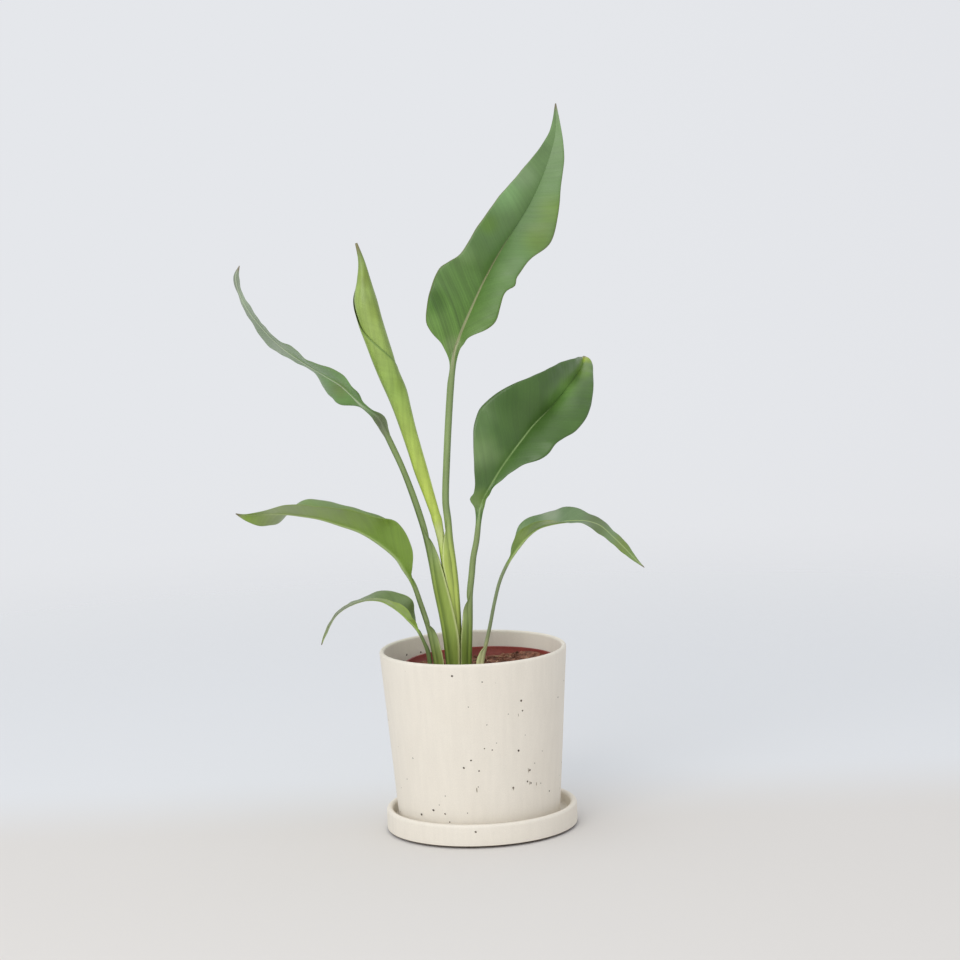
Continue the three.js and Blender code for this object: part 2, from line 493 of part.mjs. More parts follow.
// The newest leaf is still rolled up. Its rows give the middle of the roll, its radius, and the
// direction of its outer margin in degrees (0 to +X, 90 to the viewer, less is further round).
const rolledLeaf = {
  halfPoints: 3,
  acrossPoints: 15,
  rollStep: 10,
  innerMargin: 540,
  sheetGap: 1.1,
  fullRadius: 4,
  stalk: [
    { at: [-15.2, 0, stemFootHeight], rib: 2.1, left: [2.1, 0, 0], right: [2.1, 0, 0] },
    { at: [-15.2, 0, 120.5], rib: 2.1, left: [2.1, 0, 0], right: [2.1, 0, 0] },
    { at: [-15.2, 0, 133.5], rib: 2.2, left: [2.2, 0, 0], right: [2.2, 0, 0] },
    { at: [-16.5, 0, 162.5], rib: 2.6, left: [2.6, 0, 0], right: [2.6, 0, 0] },
    { at: [-18.4, 0, 202.5], rib: 3, left: [3, 0, 0], right: [3, 0, 0] },
    { at: [-21, 0, 230.5], rib: 3.1, left: [3.1, 0, 0], right: [3.1, 0, 0] },
    { at: [-23, 0, 243.5], rib: 3.5, left: [3.5, 0, 0], right: [3.5, 0, 0] },
    { at: [-24.7, 0, 252.5], rib: 4, left: [4, 0, 0], right: [4, 0, 0] },
    { at: [-27, 0, 260.5], rib: 3, left: [3, 0, 0], right: [3, 0, 0] },
  ],
  roll: [
    { at: [-24.5, 0, 251.5], radius: 3.1, margin: -70 },
    { at: [-29.8, 0, 270.5], radius: 3.8, margin: -70 },
    { at: [-35.7, 0, 291.5], radius: 4.9, margin: -70 },
    { at: [-39.5, 0, 306.5], radius: 5.1, margin: -70 },
    { at: [-44.2, 0, 324.5], radius: 5.6, margin: -75 },
    { at: [-48.2, 0, 340.5], radius: 6.5, margin: -75 },
    { at: [-52, 0, 354.5], radius: 7.6, margin: -60 },
    { at: [-57.3, 0, 368.5], radius: 7.8, margin: -15 },
    { at: [-61.5, 0, 382.5], radius: 8.5, margin: 48 },
    { at: [-65.6, 0, 396.5], radius: 8.8, margin: 103 },
    { at: [-70.2, 0, 412.5], radius: 9.2, margin: 160 },
    { at: [-73.8, 0, 429.5], radius: 9, margin: 190 },
    { at: [-74.5, 0, 445.5], radius: 5.4, margin: 230 },
    { at: [-75.6, 0, 460.5], radius: 2.4, margin: 270 },
    { at: [-78.8, 0, 474.5], radius: 0.7, margin: 300 },
  ],
};

// A smooth curve through rows of numbers, spaced by the distance between their first three
function smoothRows(rows) {
  const knots = [0];
  for (let i = 1; i < rows.length; i += 1) {
    const [a, b] = [rows[i - 1], rows[i]];
    knots.push(knots[i - 1] + Math.hypot(b[0] - a[0], b[1] - a[1], b[2] - a[2]));
  }
  const slopes = rows.map((row, i) => {
    const before = Math.max(i - 1, 0);
    const after = Math.min(i + 1, rows.length - 1);
    const gap = knots[after] - knots[before];
    return row.map((value, field) => (rows[after][field] - rows[before][field]) / gap);
  });
  return { rows, knots, slopes };
}

function readSmooth(curve, span, share) {
  const gap = curve.knots[span + 1] - curve.knots[span];
  const [a, b] = [curve.rows[span], curve.rows[span + 1]];
  const [slopeA, slopeB] = [curve.slopes[span], curve.slopes[span + 1]];
  const square = share * share;
  const cube = square * share;
  return a.map((value, field) => value * (2 * cube - 3 * square + 1)
    + b[field] * (3 * square - 2 * cube)
    + gap * slopeA[field] * (cube - 2 * square + share)
    + gap * slopeB[field] * (cube - square));
}

// Rows resampled so that no two neighbours lie further apart than the step of their span
function resample(rows, stepOfSpan) {
  const curve = smoothRows(rows);
  const samples = [];
  for (let span = 0; span < rows.length - 1; span += 1) {
    const length = curve.knots[span + 1] - curve.knots[span];
    const pieces = Math.max(1, Math.round(length / stepOfSpan(span)));
    for (let piece = 0; piece < pieces; piece += 1) {
      samples.push(readSmooth(curve, span, piece / pieces));
    }
  }
  samples.push(rows[rows.length - 1]);
  return samples;
}

// The directions across a leaf at each sample: along it, to the side, and towards the viewer
function framesAlong(samples) {
  const viewer = new THREE.Vector3(0, -1, 0);
  return samples.map((sample, i) => {
    const before = samples[Math.max(i - 1, 0)];
    const after = samples[Math.min(i + 1, samples.length - 1)];
    const along = new THREE.Vector3(
      after[0] - before[0], after[1] - before[1], after[2] - before[2],
    ).normalize();
    const side = along.clone().cross(viewer).normalize();
    const front = side.clone().cross(along);
    return { middle: new THREE.Vector3(sample[0], sample[1], sample[2]), side, front };
  });
}

// One half of a section: the place of each point, [sideways, frontways], and how far the leaf's
// faces lie from it, thick at the rib and round all over where the half is hardly wider than that
function halfSection(rib, width, angle, curl, direction, points) {
  const turn = THREE.MathUtils.degToRad(angle);
  const bend = THREE.MathUtils.degToRad(curl);
  const across = [direction * Math.cos(turn), Math.sin(turn)];
  const upper = [-Math.sin(turn) * direction, Math.cos(turn)];
  const stalkLike = THREE.MathUtils.clamp(1 - (width / rib - 1) / 2, 0, 1);
  const section = [];
  for (let point = 0; point <= points; point += 1) {
    const round = Math.sin((Math.PI / 2) * (point / points));
    const flat = point === 0 ? 0 : rib / width + (1 - rib / width) * ((point - 1) / (points - 1));
    const share = stalkLike * round + (1 - stalkLike) * flat;
    const lift = bend * width * (share * share - share);
    const depth = rib * Math.sqrt(Math.max(0, 1 - (share * width / rib) ** 2));
    section.push({
      place: [
        across[0] * width * share + upper[0] * lift,
        across[1] * width * share + upper[1] * lift,
      ],
      below: depth,
      above: depth * stalkLike,
    });
  }
  return section;
}

// The outline across a flat leaf or stalk, from its left margin to its right one
function flatSection(values, points) {
  const [, , , rib, leftWidth, leftAngle, leftCurl, rightWidth, rightAngle, rightCurl] = values;
  const left = halfSection(rib, leftWidth, leftAngle, leftCurl, -1, points);
  const right = halfSection(rib, rightWidth, rightAngle, rightCurl, 1, points);
  return [...left.slice(1).reverse(), ...right].map((point) => ({
    place: point.place,
    above: Math.max(bladeThickness / 2, point.above),
    below: Math.max(bladeThickness / 2, point.below),
  }));
}

// The outline across a rolled leaf, from its inner end to its outer margin
function rolledSection(values, points) {
  const [, , , radius, margin] = values;
  const gap = rolledLeaf.sheetGap * Math.min(1, radius / rolledLeaf.fullRadius);
  const section = [];
  for (let point = 0; point <= points; point += 1) {
    const share = point / points;
    const angle = THREE.MathUtils.degToRad(rolledLeaf.innerMargin * (1 - share) + margin * share);
    const reach = radius + gap * (2 * share - 1);
    section.push({
      place: [reach * Math.cos(angle), reach * Math.sin(angle)],
      above: bladeThickness / 2,
      below: bladeThickness / 2,
    });
  }
  return section;
}

// A closed solid lofted through sections of a sheet, with both faces split alike
function sheetSolid(frames, sections) {
  const count = sections[0].length;
  const positions = [];
  sections.forEach((section, row) => {
    const { middle, side, front } = frames[row];
    const faces = section.map((point, i) => {
      const before = section[Math.max(i - 1, 0)].place;
      const after = section[Math.min(i + 1, count - 1)].place;
      const run = [after[0] - before[0], after[1] - before[1]];
      const length = Math.hypot(run[0], run[1]);
      return [-run[1] / length, run[0] / length];
    });
    for (const sign of [1, -1]) {
      section.forEach((point, i) => {
        const reach = sign > 0 ? point.above : -point.below;
        const sideways = point.place[0] + faces[i][0] * reach;
        const frontways = point.place[1] + faces[i][1] * reach;
        const corner = middle.clone().addScaledVector(side, sideways).addScaledVector(front, frontways);
        positions.push(corner.x, corner.y, corner.z);
      });
    }
  });
  const faces = [];
  const quad = (a, b, c, d) => faces.push(a, b, c, a, c, d);
  const rowSize = 2 * count;
  for (let row = 0; row < sections.length - 1; row += 1) {
    const here = row * rowSize;
    const next = here + rowSize;
    for (let i = 0; i < count - 1; i += 1) {
      quad(here + i, here + i + 1, next + i + 1, next + i);
      const [low, high] = [here + count + i, next + count + i];
      faces.push(low, high + 1, low + 1, low, high, high + 1);
    }
    quad(here + count, here, next, next + count);
    quad(here + count - 1, here + 2 * count - 1, next + 2 * count - 1, next + count - 1);
  }
  const end = (sections.length - 1) * rowSize;
  for (let i = 0; i < count - 1; i += 1) {
    quad(i, i + count, i + count + 1, i + 1);
    quad(end + i, end + i + 1, end + i + count + 1, end + i + count);
  }
  const geometry = new THREE.BufferGeometry();
  geometry.setAttribute('position', new THREE.Float32BufferAttribute(positions, 3));
  geometry.setIndex(faces);
  return geometry;
}

function leafGeometry(leaf) {
  const rows = [...leaf.stalk, ...leaf.blade].map((row) => (
    [...row.at, row.rib, ...row.left, ...row.right]
  ));
  const stalkSpans = leaf.stalk.length - 1;
  const samples = resample(rows, (span) => (span < stalkSpans ? stalkStep : bladeStep));
  const sections = samples.map((sample) => flatSection(sample, leaf.halfPoints));
  return sheetSolid(framesAlong(samples), sections);
}

function rolledLeafGeometry() {
  const rows = rolledLeaf.roll.map((row) => [...row.at, row.radius, row.margin]);
  const samples = resample(rows, () => rolledLeaf.rollStep);
  const sections = samples.map((sample) => rolledSection(sample, rolledLeaf.acrossPoints));
  const roll = solidFrom(sheetSolid(framesAlong(samples), sections));
  const stalk = solidFrom(leafGeometry({ ...rolledLeaf, blade: [] }));
  return geometryFrom(roll.add(stalk));
}

// A hole for one stalk: the hull of its part in the soil, pushed out by a gap all round
function stalkHole(geometry) {
  const position = geometry.attributes.position;
  const feet = [];
  const centre = new THREE.Vector3();
  for (let i = 0; i < position.count; i += 1) {
    if (position.getZ(i) < stemHoleTop) {
      feet.push(new THREE.Vector3().fromBufferAttribute(position, i));
      centre.add(feet[feet.length - 1]);
    }
  }
  centre.divideScalar(feet.length);
  const corners = feet.map((foot) => {
    const out = foot.clone().sub(centre).setZ(0);
    const reach = out.length();
    return foot.clone().addScaledVector(out.normalize(), reach > 0 ? stemGap : 0);
  });
  const bottoms = corners.map((corner) => corner.clone().setZ(stemFootHeight - seatGap));
  return solidFrom(new ConvexGeometry([...corners, ...bottoms]));
}

const plant = {
  leaf_small_left: [leafGeometry(smallLeftLeaf), leafGreen],
  leaf_right: [leafGeometry(rightLeaf), leafGreen],
  leaf_long_left: [leafGeometry(longLeftLeaf), leafGreen],
  leaf_broad_right: [leafGeometry(broadLeaf), darkGreen],
  leaf_far_left: [leafGeometry(farLeftLeaf), leafGreen],
  leaf_tall: [leafGeometry(tallLeaf), leafGreen],
  leaf_rolled: [rolledLeafGeometry(), youngGreen],
};

let soil = solidFrom(soilBlock()).subtract(rootstock(seatGap));
for (const [geometry] of Object.values(plant)) {
  soil = soil.subtract(stalkHole(geometry));
}

const model = new THREE.Group();

function place(name, geometry, look) {
  const mesh = new THREE.Mesh(geometry, look.clone());
  mesh.name = name;
  model.add(mesh);
}

place('saucer', geometryFrom(solidFrom(saucer())), stoneware);
place('cover_pot', coverPot(), stoneware);
place('nursery_pot', nurseryPot(), redPlastic);
place('soil', geometryFrom(soil), soilBrown);
place('rootstock', geometryFrom(rootstock(0)), rootCream);
for (const [name, [geometry, look]] of Object.entries(plant)) {
  place(name, geometry, look);
}

export default model;
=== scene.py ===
# A young bird of paradise in a speckled stoneware pot on its saucer.
# Rows, outlines and sizes are in millimetres, and MM turns them into the frame's metres.

import math
import random

import bmesh
import bpy
import numpy as np
from mathutils import Matrix, Vector, noise


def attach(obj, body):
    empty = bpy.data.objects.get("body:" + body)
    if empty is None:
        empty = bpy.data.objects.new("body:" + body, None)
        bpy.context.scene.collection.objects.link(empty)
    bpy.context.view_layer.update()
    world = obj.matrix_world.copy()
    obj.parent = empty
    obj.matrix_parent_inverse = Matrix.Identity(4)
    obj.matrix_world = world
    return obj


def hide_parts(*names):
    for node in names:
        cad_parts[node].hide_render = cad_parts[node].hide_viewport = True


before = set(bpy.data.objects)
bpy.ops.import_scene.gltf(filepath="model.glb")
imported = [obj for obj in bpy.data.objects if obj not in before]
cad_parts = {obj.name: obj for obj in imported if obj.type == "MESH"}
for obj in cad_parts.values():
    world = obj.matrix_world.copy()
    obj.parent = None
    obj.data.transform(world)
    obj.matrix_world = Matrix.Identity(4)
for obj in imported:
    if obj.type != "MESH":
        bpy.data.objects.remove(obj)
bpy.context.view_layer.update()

MM = 0.001

# Camera, lights and stage, in metres and watts, but the lens and sensor in millimetres
CAMERA_LENS = 116.3
CAMERA_SENSOR = 36
CAMERA_DISTANCE = 2.4745
CAMERA_PITCH = math.radians(7.76)
CAMERA_ROLL = math.radians(-2.36)
CAMERA_AIM = Vector((0.0113, 0.0, 0.2818))
# Each square light: its place, what it points at, its side, power and colour
LIGHTS = {
    "key": ((-1.1, -2.42, 1.5), (0, 0, 0.2), 1.9, 31, (1.0, 0.985, 0.96)),
    "top": ((-0.4, 0.1, 2.6), (0, 0.1, 0), 2.0, 8, (1.0, 0.99, 0.97)),
}
FLOOR_RADIUS = 1.7
FLOOR_FADE = (0.55, 1.6)
FLOOR_CHANGE = (-0.02, 0.20)
FLOOR_FRONT = (220, 217, 213)
FLOOR_BACK = (225, 227, 229)
ROOM_COLOUR = (229, 231, 235)
# The room's other tints: the axis of the direction, where the tint starts and is full, its colour
ROOM_TINTS = [
    ("X", 0.0, 0.35, (225, 226, 230)),
    ("Z", -0.1, -0.35, (223, 222, 222)),
]

# Pots
TURN_STEPS = 160
POT_TOP_RADIUS = 75
POT_FOOT_RADIUS = 65
POT_TOP = 147
POT_WALL = 4
POT_FLOOR = 6
POT_DRAIN_RADIUS = 6
POT_FOOT_ROUNDING = 1.4
POT_INNER_ROUNDING = 3
POT_UNEVENNESS = 0.3
LIP_ROUNDING = 1.9
SAUCER_CENTRE = (2, 0)
SAUCER_RADIUS = 77
SAUCER_FOOT_RADIUS = 71.5
SAUCER_HEIGHT = 19
SAUCER_FLOOR = 8
SAUCER_RIM = 5.2
SAUCER_INNER_ROUNDING = 2.5
SAUCER_UNEVENNESS = 0.25
FOOT_GROOVE = 1.8
FOOT_ROUNDING = 0.8
NURSERY_CENTRE = (6, 1)
NURSERY_RIM_RADIUS = 62
NURSERY_FOOT_RADIUS = 46
NURSERY_TOP = 135
NURSERY_WALL = 1.4
NURSERY_FLOOR = 1.8
NURSERY_BAND = 9
NURSERY_STEP = 1.6
NURSERY_ROUNDING = 0.8
NURSERY_BAND_ROUNDING = 0.6
NURSERY_DRAINS = 5
NURSERY_DRAIN_RADIUS = 4
NURSERY_DRAIN_RING = 28

# Soil
SOIL_TOP = 127.5
SOIL_GAP = 0.4
# Its banks at the right and left: their height, and how far out each one starts and is full
RIGHT_BANK = (5.5, 12, 50)
LEFT_BANK = (3, 20, 50)
# The broad lumps, small lumps and crumbs of its surface: their width, layer of noise and height
SOIL_LUMPS = ((22, 3.7, 1.4), (6.5, 9.1, 0.9), (2.2, 1.3, 0.6))
SOIL_RINGS = 70
SOIL_STEPS = 180
CRUMBS = 420
CRUMB_SEED = 7
CRUMB_SIZES = (0.5, 0.6, 0.8, 0.8, 1.1, 1.5, 2.0)
STRAWS = 70
STRAW_SEED = 21
STRAW_BEND = 0.12
STRAW_LIFT = 0.55
# How far the stalks reach to the left, to the right and to the front and back, where no crumbs lie
STALKS = (-42, 14, 7)

# Leaves
STALK_FOOT = 104.5
HALF_POINTS = 22
ROW_STEP = 1.8
BLADE_THICKNESS = 0.55
THINNING_WIDTH = 1.5
LEAST_HALF_THICKNESS = 0.03
LEAST_WIDTH = 0.3
# Above 1, the points of a half crowd towards the midrib
CROWDING = 1.45
# How far from the foot and the tip of a blade its ripples fade
RIPPLE_FADES = (25, 30)
# The slant of the veins, how much more they slant at the foot and how far up, and how they bend
VEIN_SLANT = 0.32
VEIN_FOOT_SLANT = 2.0
VEIN_FOOT_REACH = 45
VEIN_BEND = 0.004
ROLL_VEIN_SLANT = 0.9
ROLL_POINTS = 110
ROLL_STEP = 2.0
ROLL_INNER_ANGLE = 540
ROLL_SHEET_GAP = 0.7
ROLL_FULL_RADIUS = 4
# The angles of the two halves of a sheath, on the stalks that lean left and right
LEANS_LEFT = (145, -35)
LEANS_RIGHT = (-35, 145)


def stem_rows(*rows):
    """Rows of a round stalk, from x, z, its radius, the width of its halves and their angle."""
    return [(x, 0, z, radius, width, turn, 0, width, -turn, 0) for x, z, radius, width, turn in rows]


def sheath_rows(turns, *rows):
    """Rows of a folded sheath, from x, z, the radius of its keel, its two widths and its curl."""
    return [
        (x, 0, z, radius, left, turns[0], curl, right, turns[1], curl)
        for x, z, radius, left, right, curl in rows
    ]


# A leaf is a stalk or sheath, then a blade. Each full row is x, y, z, the radius of the stalk or
# midrib, and for the left and the right half the width, angle and curl, in millimetres and degrees.
# The ripple is how high the ripples stand at the blade's margins, and how long they are. From its
# first row each stalk goes straight down to its foot in the soil.
LEAVES = {}
LEAVES["leaf_small_left"] = dict(
    ripple=(0.3, 23),
    stalk=stem_rows(
        (-35.2, 120.5, 1.8, 1.8, 180), (-35, 132.5, 1.8, 1.8, 180), (-36.2, 144.5, 1.8, 1.8, 180),
    ) + [
        (-39.4, -1, 153.5, 1.4, 1.4, 180, 0, 1.4, -180, 0),
        (-42.8, -2, 161.5, 1.4, 1.5, 120, 0, 1.5, -120, 0),
    ],
    blade=[
        (-46.5, -3, 167, 1.4, 4.5, 130, 0, 7, -65, 0),
        (-50.5, -4, 171.5, 1.3, 9, 120, 0, 11, -48, 10),
        (-56.5, -5, 178, 1.2, 13, 123, 10, 14, -18, 0),
        (-64, -6, 184.3, 1.2, 13.5, 118, 10, 13.5, -41, -10),
        (-72.5, -8, 189, 1.1, 12.5, 110, 0, 13, -66, -10),
        (-84, -10, 190.2, 1, 11, 102, 0, 11.5, -86, 0),
        (-97, -12, 186.5, 0.8, 10, 106, 0, 10, -88, 0),
        (-106.5, -14, 180.8, 0.7, 8.5, 107, 0, 8.5, -94, 0),
        (-113, -15, 172.8, 0.7, 6.5, 104, 0, 6.5, -102, 0),
        (-117, -16, 165, 0.6, 3.5, 108, 0, 3.5, -108, 0),
        (-120.5, -16, 156.5, 0.4, 0.5, 130, 0, 0.5, -100, 0),
    ],
)
LEAVES["leaf_right"] = dict(
    ripple=(0.4, 27),
    stalk=sheath_rows(
        LEANS_RIGHT,
        (6.4, 120.5, 1.8, 5, 5, 40), (6.6, 132.5, 1.8, 5.4, 5.4, 40), (8.6, 141.5, 1.7, 3.6, 3.6, 30),
    ) + stem_rows(
        (10.6, 148.5, 1.6, 1.7, -90), (13.8, 160.5, 1.5, 1.5, -90), (19.2, 183.5, 1.4, 1.4, -90),
    ) + [
        (24.2, -1, 200.5, 1.4, 1.4, -100, 0, 1.4, 100, 0),
        (31, -2, 214.5, 1.4, 1.5, -100, 0, 1.5, 120, 0),
    ],
    blade=[
        (36.5, -3, 222.5, 1.4, 5, -42, 0, 4, 140, 0),
        (42, -4, 229.5, 1.4, 9, -40, 0, 9, 140, 0),
        (48.5, -5, 236.5, 1.3, 13.5, -40, 10, 13.5, 132, 10),
        (57, -6, 242.3, 1.2, 15.5, -57, 0, 15.5, 121, 10),
        (69, -8, 245.5, 1.1, 17, -61, 0, 17, 108, 0),
        (82, -10, 247, 1.1, 16.5, -54, 0, 17, 97, 0),
        (95, -13, 246.8, 1, 15, -74, 0, 16, 89, 0),
        (105.5, -15, 243, 0.9, 13.5, -76, 0, 13.5, 72, 0),
        (115.5, -17, 233.5, 0.8, 10.5, -70, 0, 10.5, 68, 0),
        (124.5, -18, 224, 0.7, 7, -62, 0, 7, 65, 0),
        (132, -19, 215.5, 0.5, 3, -55, 0, 3, 60, 0),
        (139, -20, 209, 0.3, 0.5, -72, 0, 0.5, 60, 0),
    ],
)
LEAVES["leaf_long_left"] = dict(
    ripple=(0.4, 38),
    stalk=sheath_rows(
        LEANS_LEFT, (-29.2, 120.5, 2.1, 6, 6, 50), (-29.8, 133.5, 2.1, 7.6, 7, 50),
        (-31.8, 147.5, 2.1, 7.4, 7, 50), (-34.2, 160.5, 2.1, 5, 5, 30),
    ) + stem_rows(
        (-36, 168.5, 2.2, 2.3, 90), (-41.2, 186.5, 2.1, 2.1, 90), (-44.8, 198.5, 2, 2, 90),
    ),
    blade=[
        (-48.3, 0, 206, 2, 3.5, 120, 0, 4, -60, 0),
        (-52, -1, 212, 1.9, 10, 137, 0, 9.5, -47, 0),
        (-58, -1, 222.1, 1.8, 20, 145, 10, 19, -44, 10),
        (-71.2, -2, 234.5, 1.7, 27, 151, 10, 25, -46, 0),
        (-86, -4, 244.8, 1.6, 27, 134, 0, 27, -61, -10),
        (-102, -6, 251.5, 1.5, 27, 129, 0, 27, -63, -15),
        (-117.5, -9, 257.5, 1.4, 26, 123, 0, 26, -65, -15),
        (-130.5, -12, 260.7, 1.3, 24, 120, 0, 24, -74, -15),
        (-142.5, -15, 263, 1.1, 20, 121, 0, 20, -113, -10),
        (-155, -18, 264, 1, 15, 119, 0, 15, -137, 0),
        (-166, -20, 264.5, 0.9, 10.5, 107, 0, 11, -155, 0),
        (-175, -21, 264.5, 0.7, 5.5, 104, 0, 5.2, -165, 0),
        (-183, -22, 266, 0.4, 0.5, 95, 0, 0.5, -165, 0),
    ],
)
LEAVES["leaf_broad_right"] = dict(
    ripple=(0.6, 31),
    stalk=sheath_rows(
        LEANS_RIGHT, (-3.7, 120.5, 2.2, 7.8, 7.8, 50), (-3.6, 133.5, 2.3, 8.2, 8.2, 50),
        (-2.4, 152.5, 2.3, 8.6, 8.6, 50), (-1.5, 167.5, 2.4, 7.4, 7.4, 50),
        (-1.1, 178.5, 2.5, 5.6, 5.6, 40),
    ) + stem_rows(
        (-0.7, 189.5, 2.6, 2.8, -90), (1.5, 205.5, 2.6, 2.6, -70), (3.4, 219.5, 2.5, 2.5, -45),
        (6.6, 233.5, 2.4, 2.4, -20),
    ) + [
        (8.8, 0, 248.5, 2.3, 2.3, 0, 0, 2.3, 10, 0),
    ],
    blade=[
        (10.5, 0, 258.5, 2.3, 5, 20, 0, 3.5, 45, 0),
        (12.2, 0.5, 263, 2.2, 11.5, 24, 0, 5, 65, 0),
        (14, 1, 267.5, 2.2, 10.8, 34, 0, 8, 75, 0),
        (19, 2, 275.5, 2.1, 16.5, 27, 0, 4, 50, 0),
        (27.5, 3.5, 288.5, 2, 28, 23, -10, 9.5, 46, -10),
        (36, 5.5, 299.5, 1.9, 39, 15, -15, 17, 42, -15),
        (44.5, 8.5, 309.5, 1.8, 43, 8, -15, 26, 37, -20),
        (56, 13.5, 322.5, 1.7, 40.5, 16, -20, 27.5, 35, -20),
        (72, 24.5, 336.5, 1.5, 32, 29, -20, 30.5, 32, -20),
        (85, 42, 349, 1.2, 23, 35, -15, 22.5, 35, -15),
        (95, 63, 358.5, 0.9, 13, 41, -10, 12.5, 43, -10),
        (100, 84, 363.8, 0.7, 5.5, 43, 0, 7, 41, 0),
        (101.3, 100, 367.7, 0.4, 0.5, 60, 0, 0.5, 50, 0),
    ],
)
LEAVES["leaf_far_left"] = dict(
    ripple=(0.4, 29),
    stalk=sheath_rows(
        LEANS_LEFT, (-20, 120.5, 2.2, 10.5, 10.5, 55),
        (-20, 133.5, 2.2, 11, 11, 55), (-21.4, 153.5, 2.2, 13.2, 12, 55),
        (-23.8, 173.5, 2.3, 12.6, 12, 55), (-27.2, 194.5, 2.4, 11.4, 11, 55),
        (-29.8, 214.5, 2.5, 8.8, 8.5, 50), (-32.2, 230.5, 2.6, 5.4, 5, 30),
    ) + stem_rows(
        (-34.8, 243.5, 2.6, 2.8, 90), (-41.4, 267.5, 2.6, 2.6, 90), (-49.6, 292.5, 2.4, 2.4, 90),
        (-57.8, 312.7, 2.5, 2.6, 120), (-62.6, 324.1, 2.4, 3.4, 160),
    ),
    blade=[
        (-66.3, 1, 333.1, 2, 5.6, 150, 0, 4.8, -160, 0),
        (-73, 3, 339.5, 1.7, 4.2, 130, 0, 3.8, -145, 0),
        (-81, 5, 346, 1.6, 4.5, 130, 0, 4.6, -135, 0),
        (-88, 6, 354, 1.6, 14, 115, 10, 15, -146, 10),
        (-97, 8, 362.5, 1.6, 20, 118, 10, 20, -138, 10),
        (-108, 11, 369.5, 1.5, 25, 109, 10, 25, -121, 10),
        (-120, 15, 377, 1.4, 27, 103, 5, 27, -104, 5),
        (-133, 19, 385.5, 1.3, 27, 107, 0, 27, -103, 0),
        (-146, 23, 396, 1.2, 25, 100, 0, 25, -110, 0),
        (-157.5, 28, 408, 1.1, 21, 102, 0, 21, -113, 0),
        (-168, 31, 422, 1, 15.5, 105, 0, 15.5, -108, 0),
        (-175, 34, 436.5, 0.8, 10, 108, 0, 10, -107, 0),
        (-177.5, 37, 449, 0.7, 5.5, 118, 0, 5.5, -118, 0),
        (-174.5, 38, 458, 0.4, 0.5, 120, 0, 0.5, -120, 0),
    ],
)
LEAVES["leaf_tall"] = dict(
    ripple=(0.4, 36),
    stalk=sheath_rows(
        LEANS_RIGHT, (-9.6, 120.5, 2.2, 7.5, 7.5, 55), (-9.8, 133.5, 2.3, 7.5, 7.5, 55),
        (-10.8, 152.5, 2.4, 8, 8, 55), (-10.9, 170.5, 2.5, 8, 8, 55), (-11.3, 186.5, 2.6, 7.5, 7.8, 50),
    ) + [
        (-12, 0, 202.5, 2.7, 6.5, -35, 45, 8.6, 145, 50),
        (-13.2, 0, 218.5, 2.7, 5, -35, 35, 9.8, 145, 50),
        (-14.8, 0, 234.5, 2.8, 3.4, -60, 10, 6.5, 140, 35),
        (-15.7, 0, 250.5, 2.9, 2.9, -90, 0, 3, 110, 0),
    ] + stem_rows(
        (-16.8, 266.5, 2.8, 2.8, -70), (-14.6, 298.5, 2.8, 2.8, -40), (-11.8, 330.5, 2.8, 2.8, -15),
        (-8.9, 358.5, 2.8, 2.8, 0),
    ) + [
        (-6.4, 0, 376.5, 2.8, 2.8, 0, 0, 2.8, 10, 0),
    ],
    blade=[
        (-3.5, 0, 388.5, 2.6, 12, 5, 0, 4, 30, 0),
        (-1.6, 0, 393.2, 2.5, 22.5, 5, -5, 6, 36, -5),
        (0.5, 0, 398.5, 2.4, 29, 5, -10, 9, 42, -10),
        (5, 1, 408.5, 2.2, 33.5, 5, -10, 19.5, 30, -15),
        (9.5, 2, 417.5, 2.1, 36, 5, -10, 24.5, 31, -20),
        (18, 4, 434.5, 1.9, 37, 10, -15, 22.5, 33, -20),
        (21.5, 4.7, 441, 1.9, 33, 14, -18, 23, 32, -20),
        (24.5, 5.3, 446.3, 1.8, 30.5, 22, -22, 26, 28, -20),
        (28, 6, 452.5, 1.8, 29, 26, -25, 24.5, 29, -20),
        (39, 9, 469.5, 1.6, 28.5, 25, -20, 26.5, 25, -20),
        (50, 12, 484.5, 1.5, 27.5, 24, -15, 30.5, 14, -15),
        (60, 16, 499.5, 1.3, 24.5, 22, -15, 25.5, 19, -10),
        (69.5, 20, 517.5, 1.1, 18.5, 21, -10, 17.5, 19, -10),
        (77.5, 24, 536.5, 0.9, 11.5, 22, 0, 12, 15, 0),
        (82.5, 27, 554.5, 0.7, 5, 20, 0, 5.5, 20, 0),
        (83.6, 29, 577, 0.4, 0.5, 30, 0, 0.5, 20, 0),
    ],
)

# The newest leaf is rolled up. Each row of its roll is x, y, z, the radius and the angle of its margin.
ROLLED_STALK = stem_rows(
    (-15.2, 120.5, 2.1, 2.1, 0), (-15.2, 133.5, 2.2, 2.2, 0),
    (-16.5, 162.5, 2.6, 2.6, 0), (-18.4, 202.5, 3, 3, 0), (-21, 230.5, 3.1, 3.1, 0),
    (-23, 243.5, 3.5, 3.5, 0), (-24.7, 252.5, 4, 4, 0), (-27, 260.5, 3, 3, 0),
)
ROLL = [
    (-24.5, 0, 251.5, 3.1, -70), (-29.8, 0, 270.5, 3.8, -70), (-35.7, 0, 291.5, 4.9, -70),
    (-39.5, 0, 306.5, 5.1, -70), (-44.2, 0, 324.5, 5.6, -75), (-48.2, 0, 340.5, 6.5, -75),
    (-52, 0, 354.5, 7.6, -60), (-57.3, 0, 368.5, 7.8, -15), (-61.5, 0, 382.5, 8.5, 48),
    (-65.6, 0, 396.5, 8.8, 103), (-70.2, 0, 412.5, 9.2, 160), (-73.8, 0, 429.5, 9, 190),
    (-74.5, 0, 445.5, 5.4, 230), (-75.6, 0, 460.5, 2.4, 270), (-78.8, 0, 474.5, 0.7, 300),
]

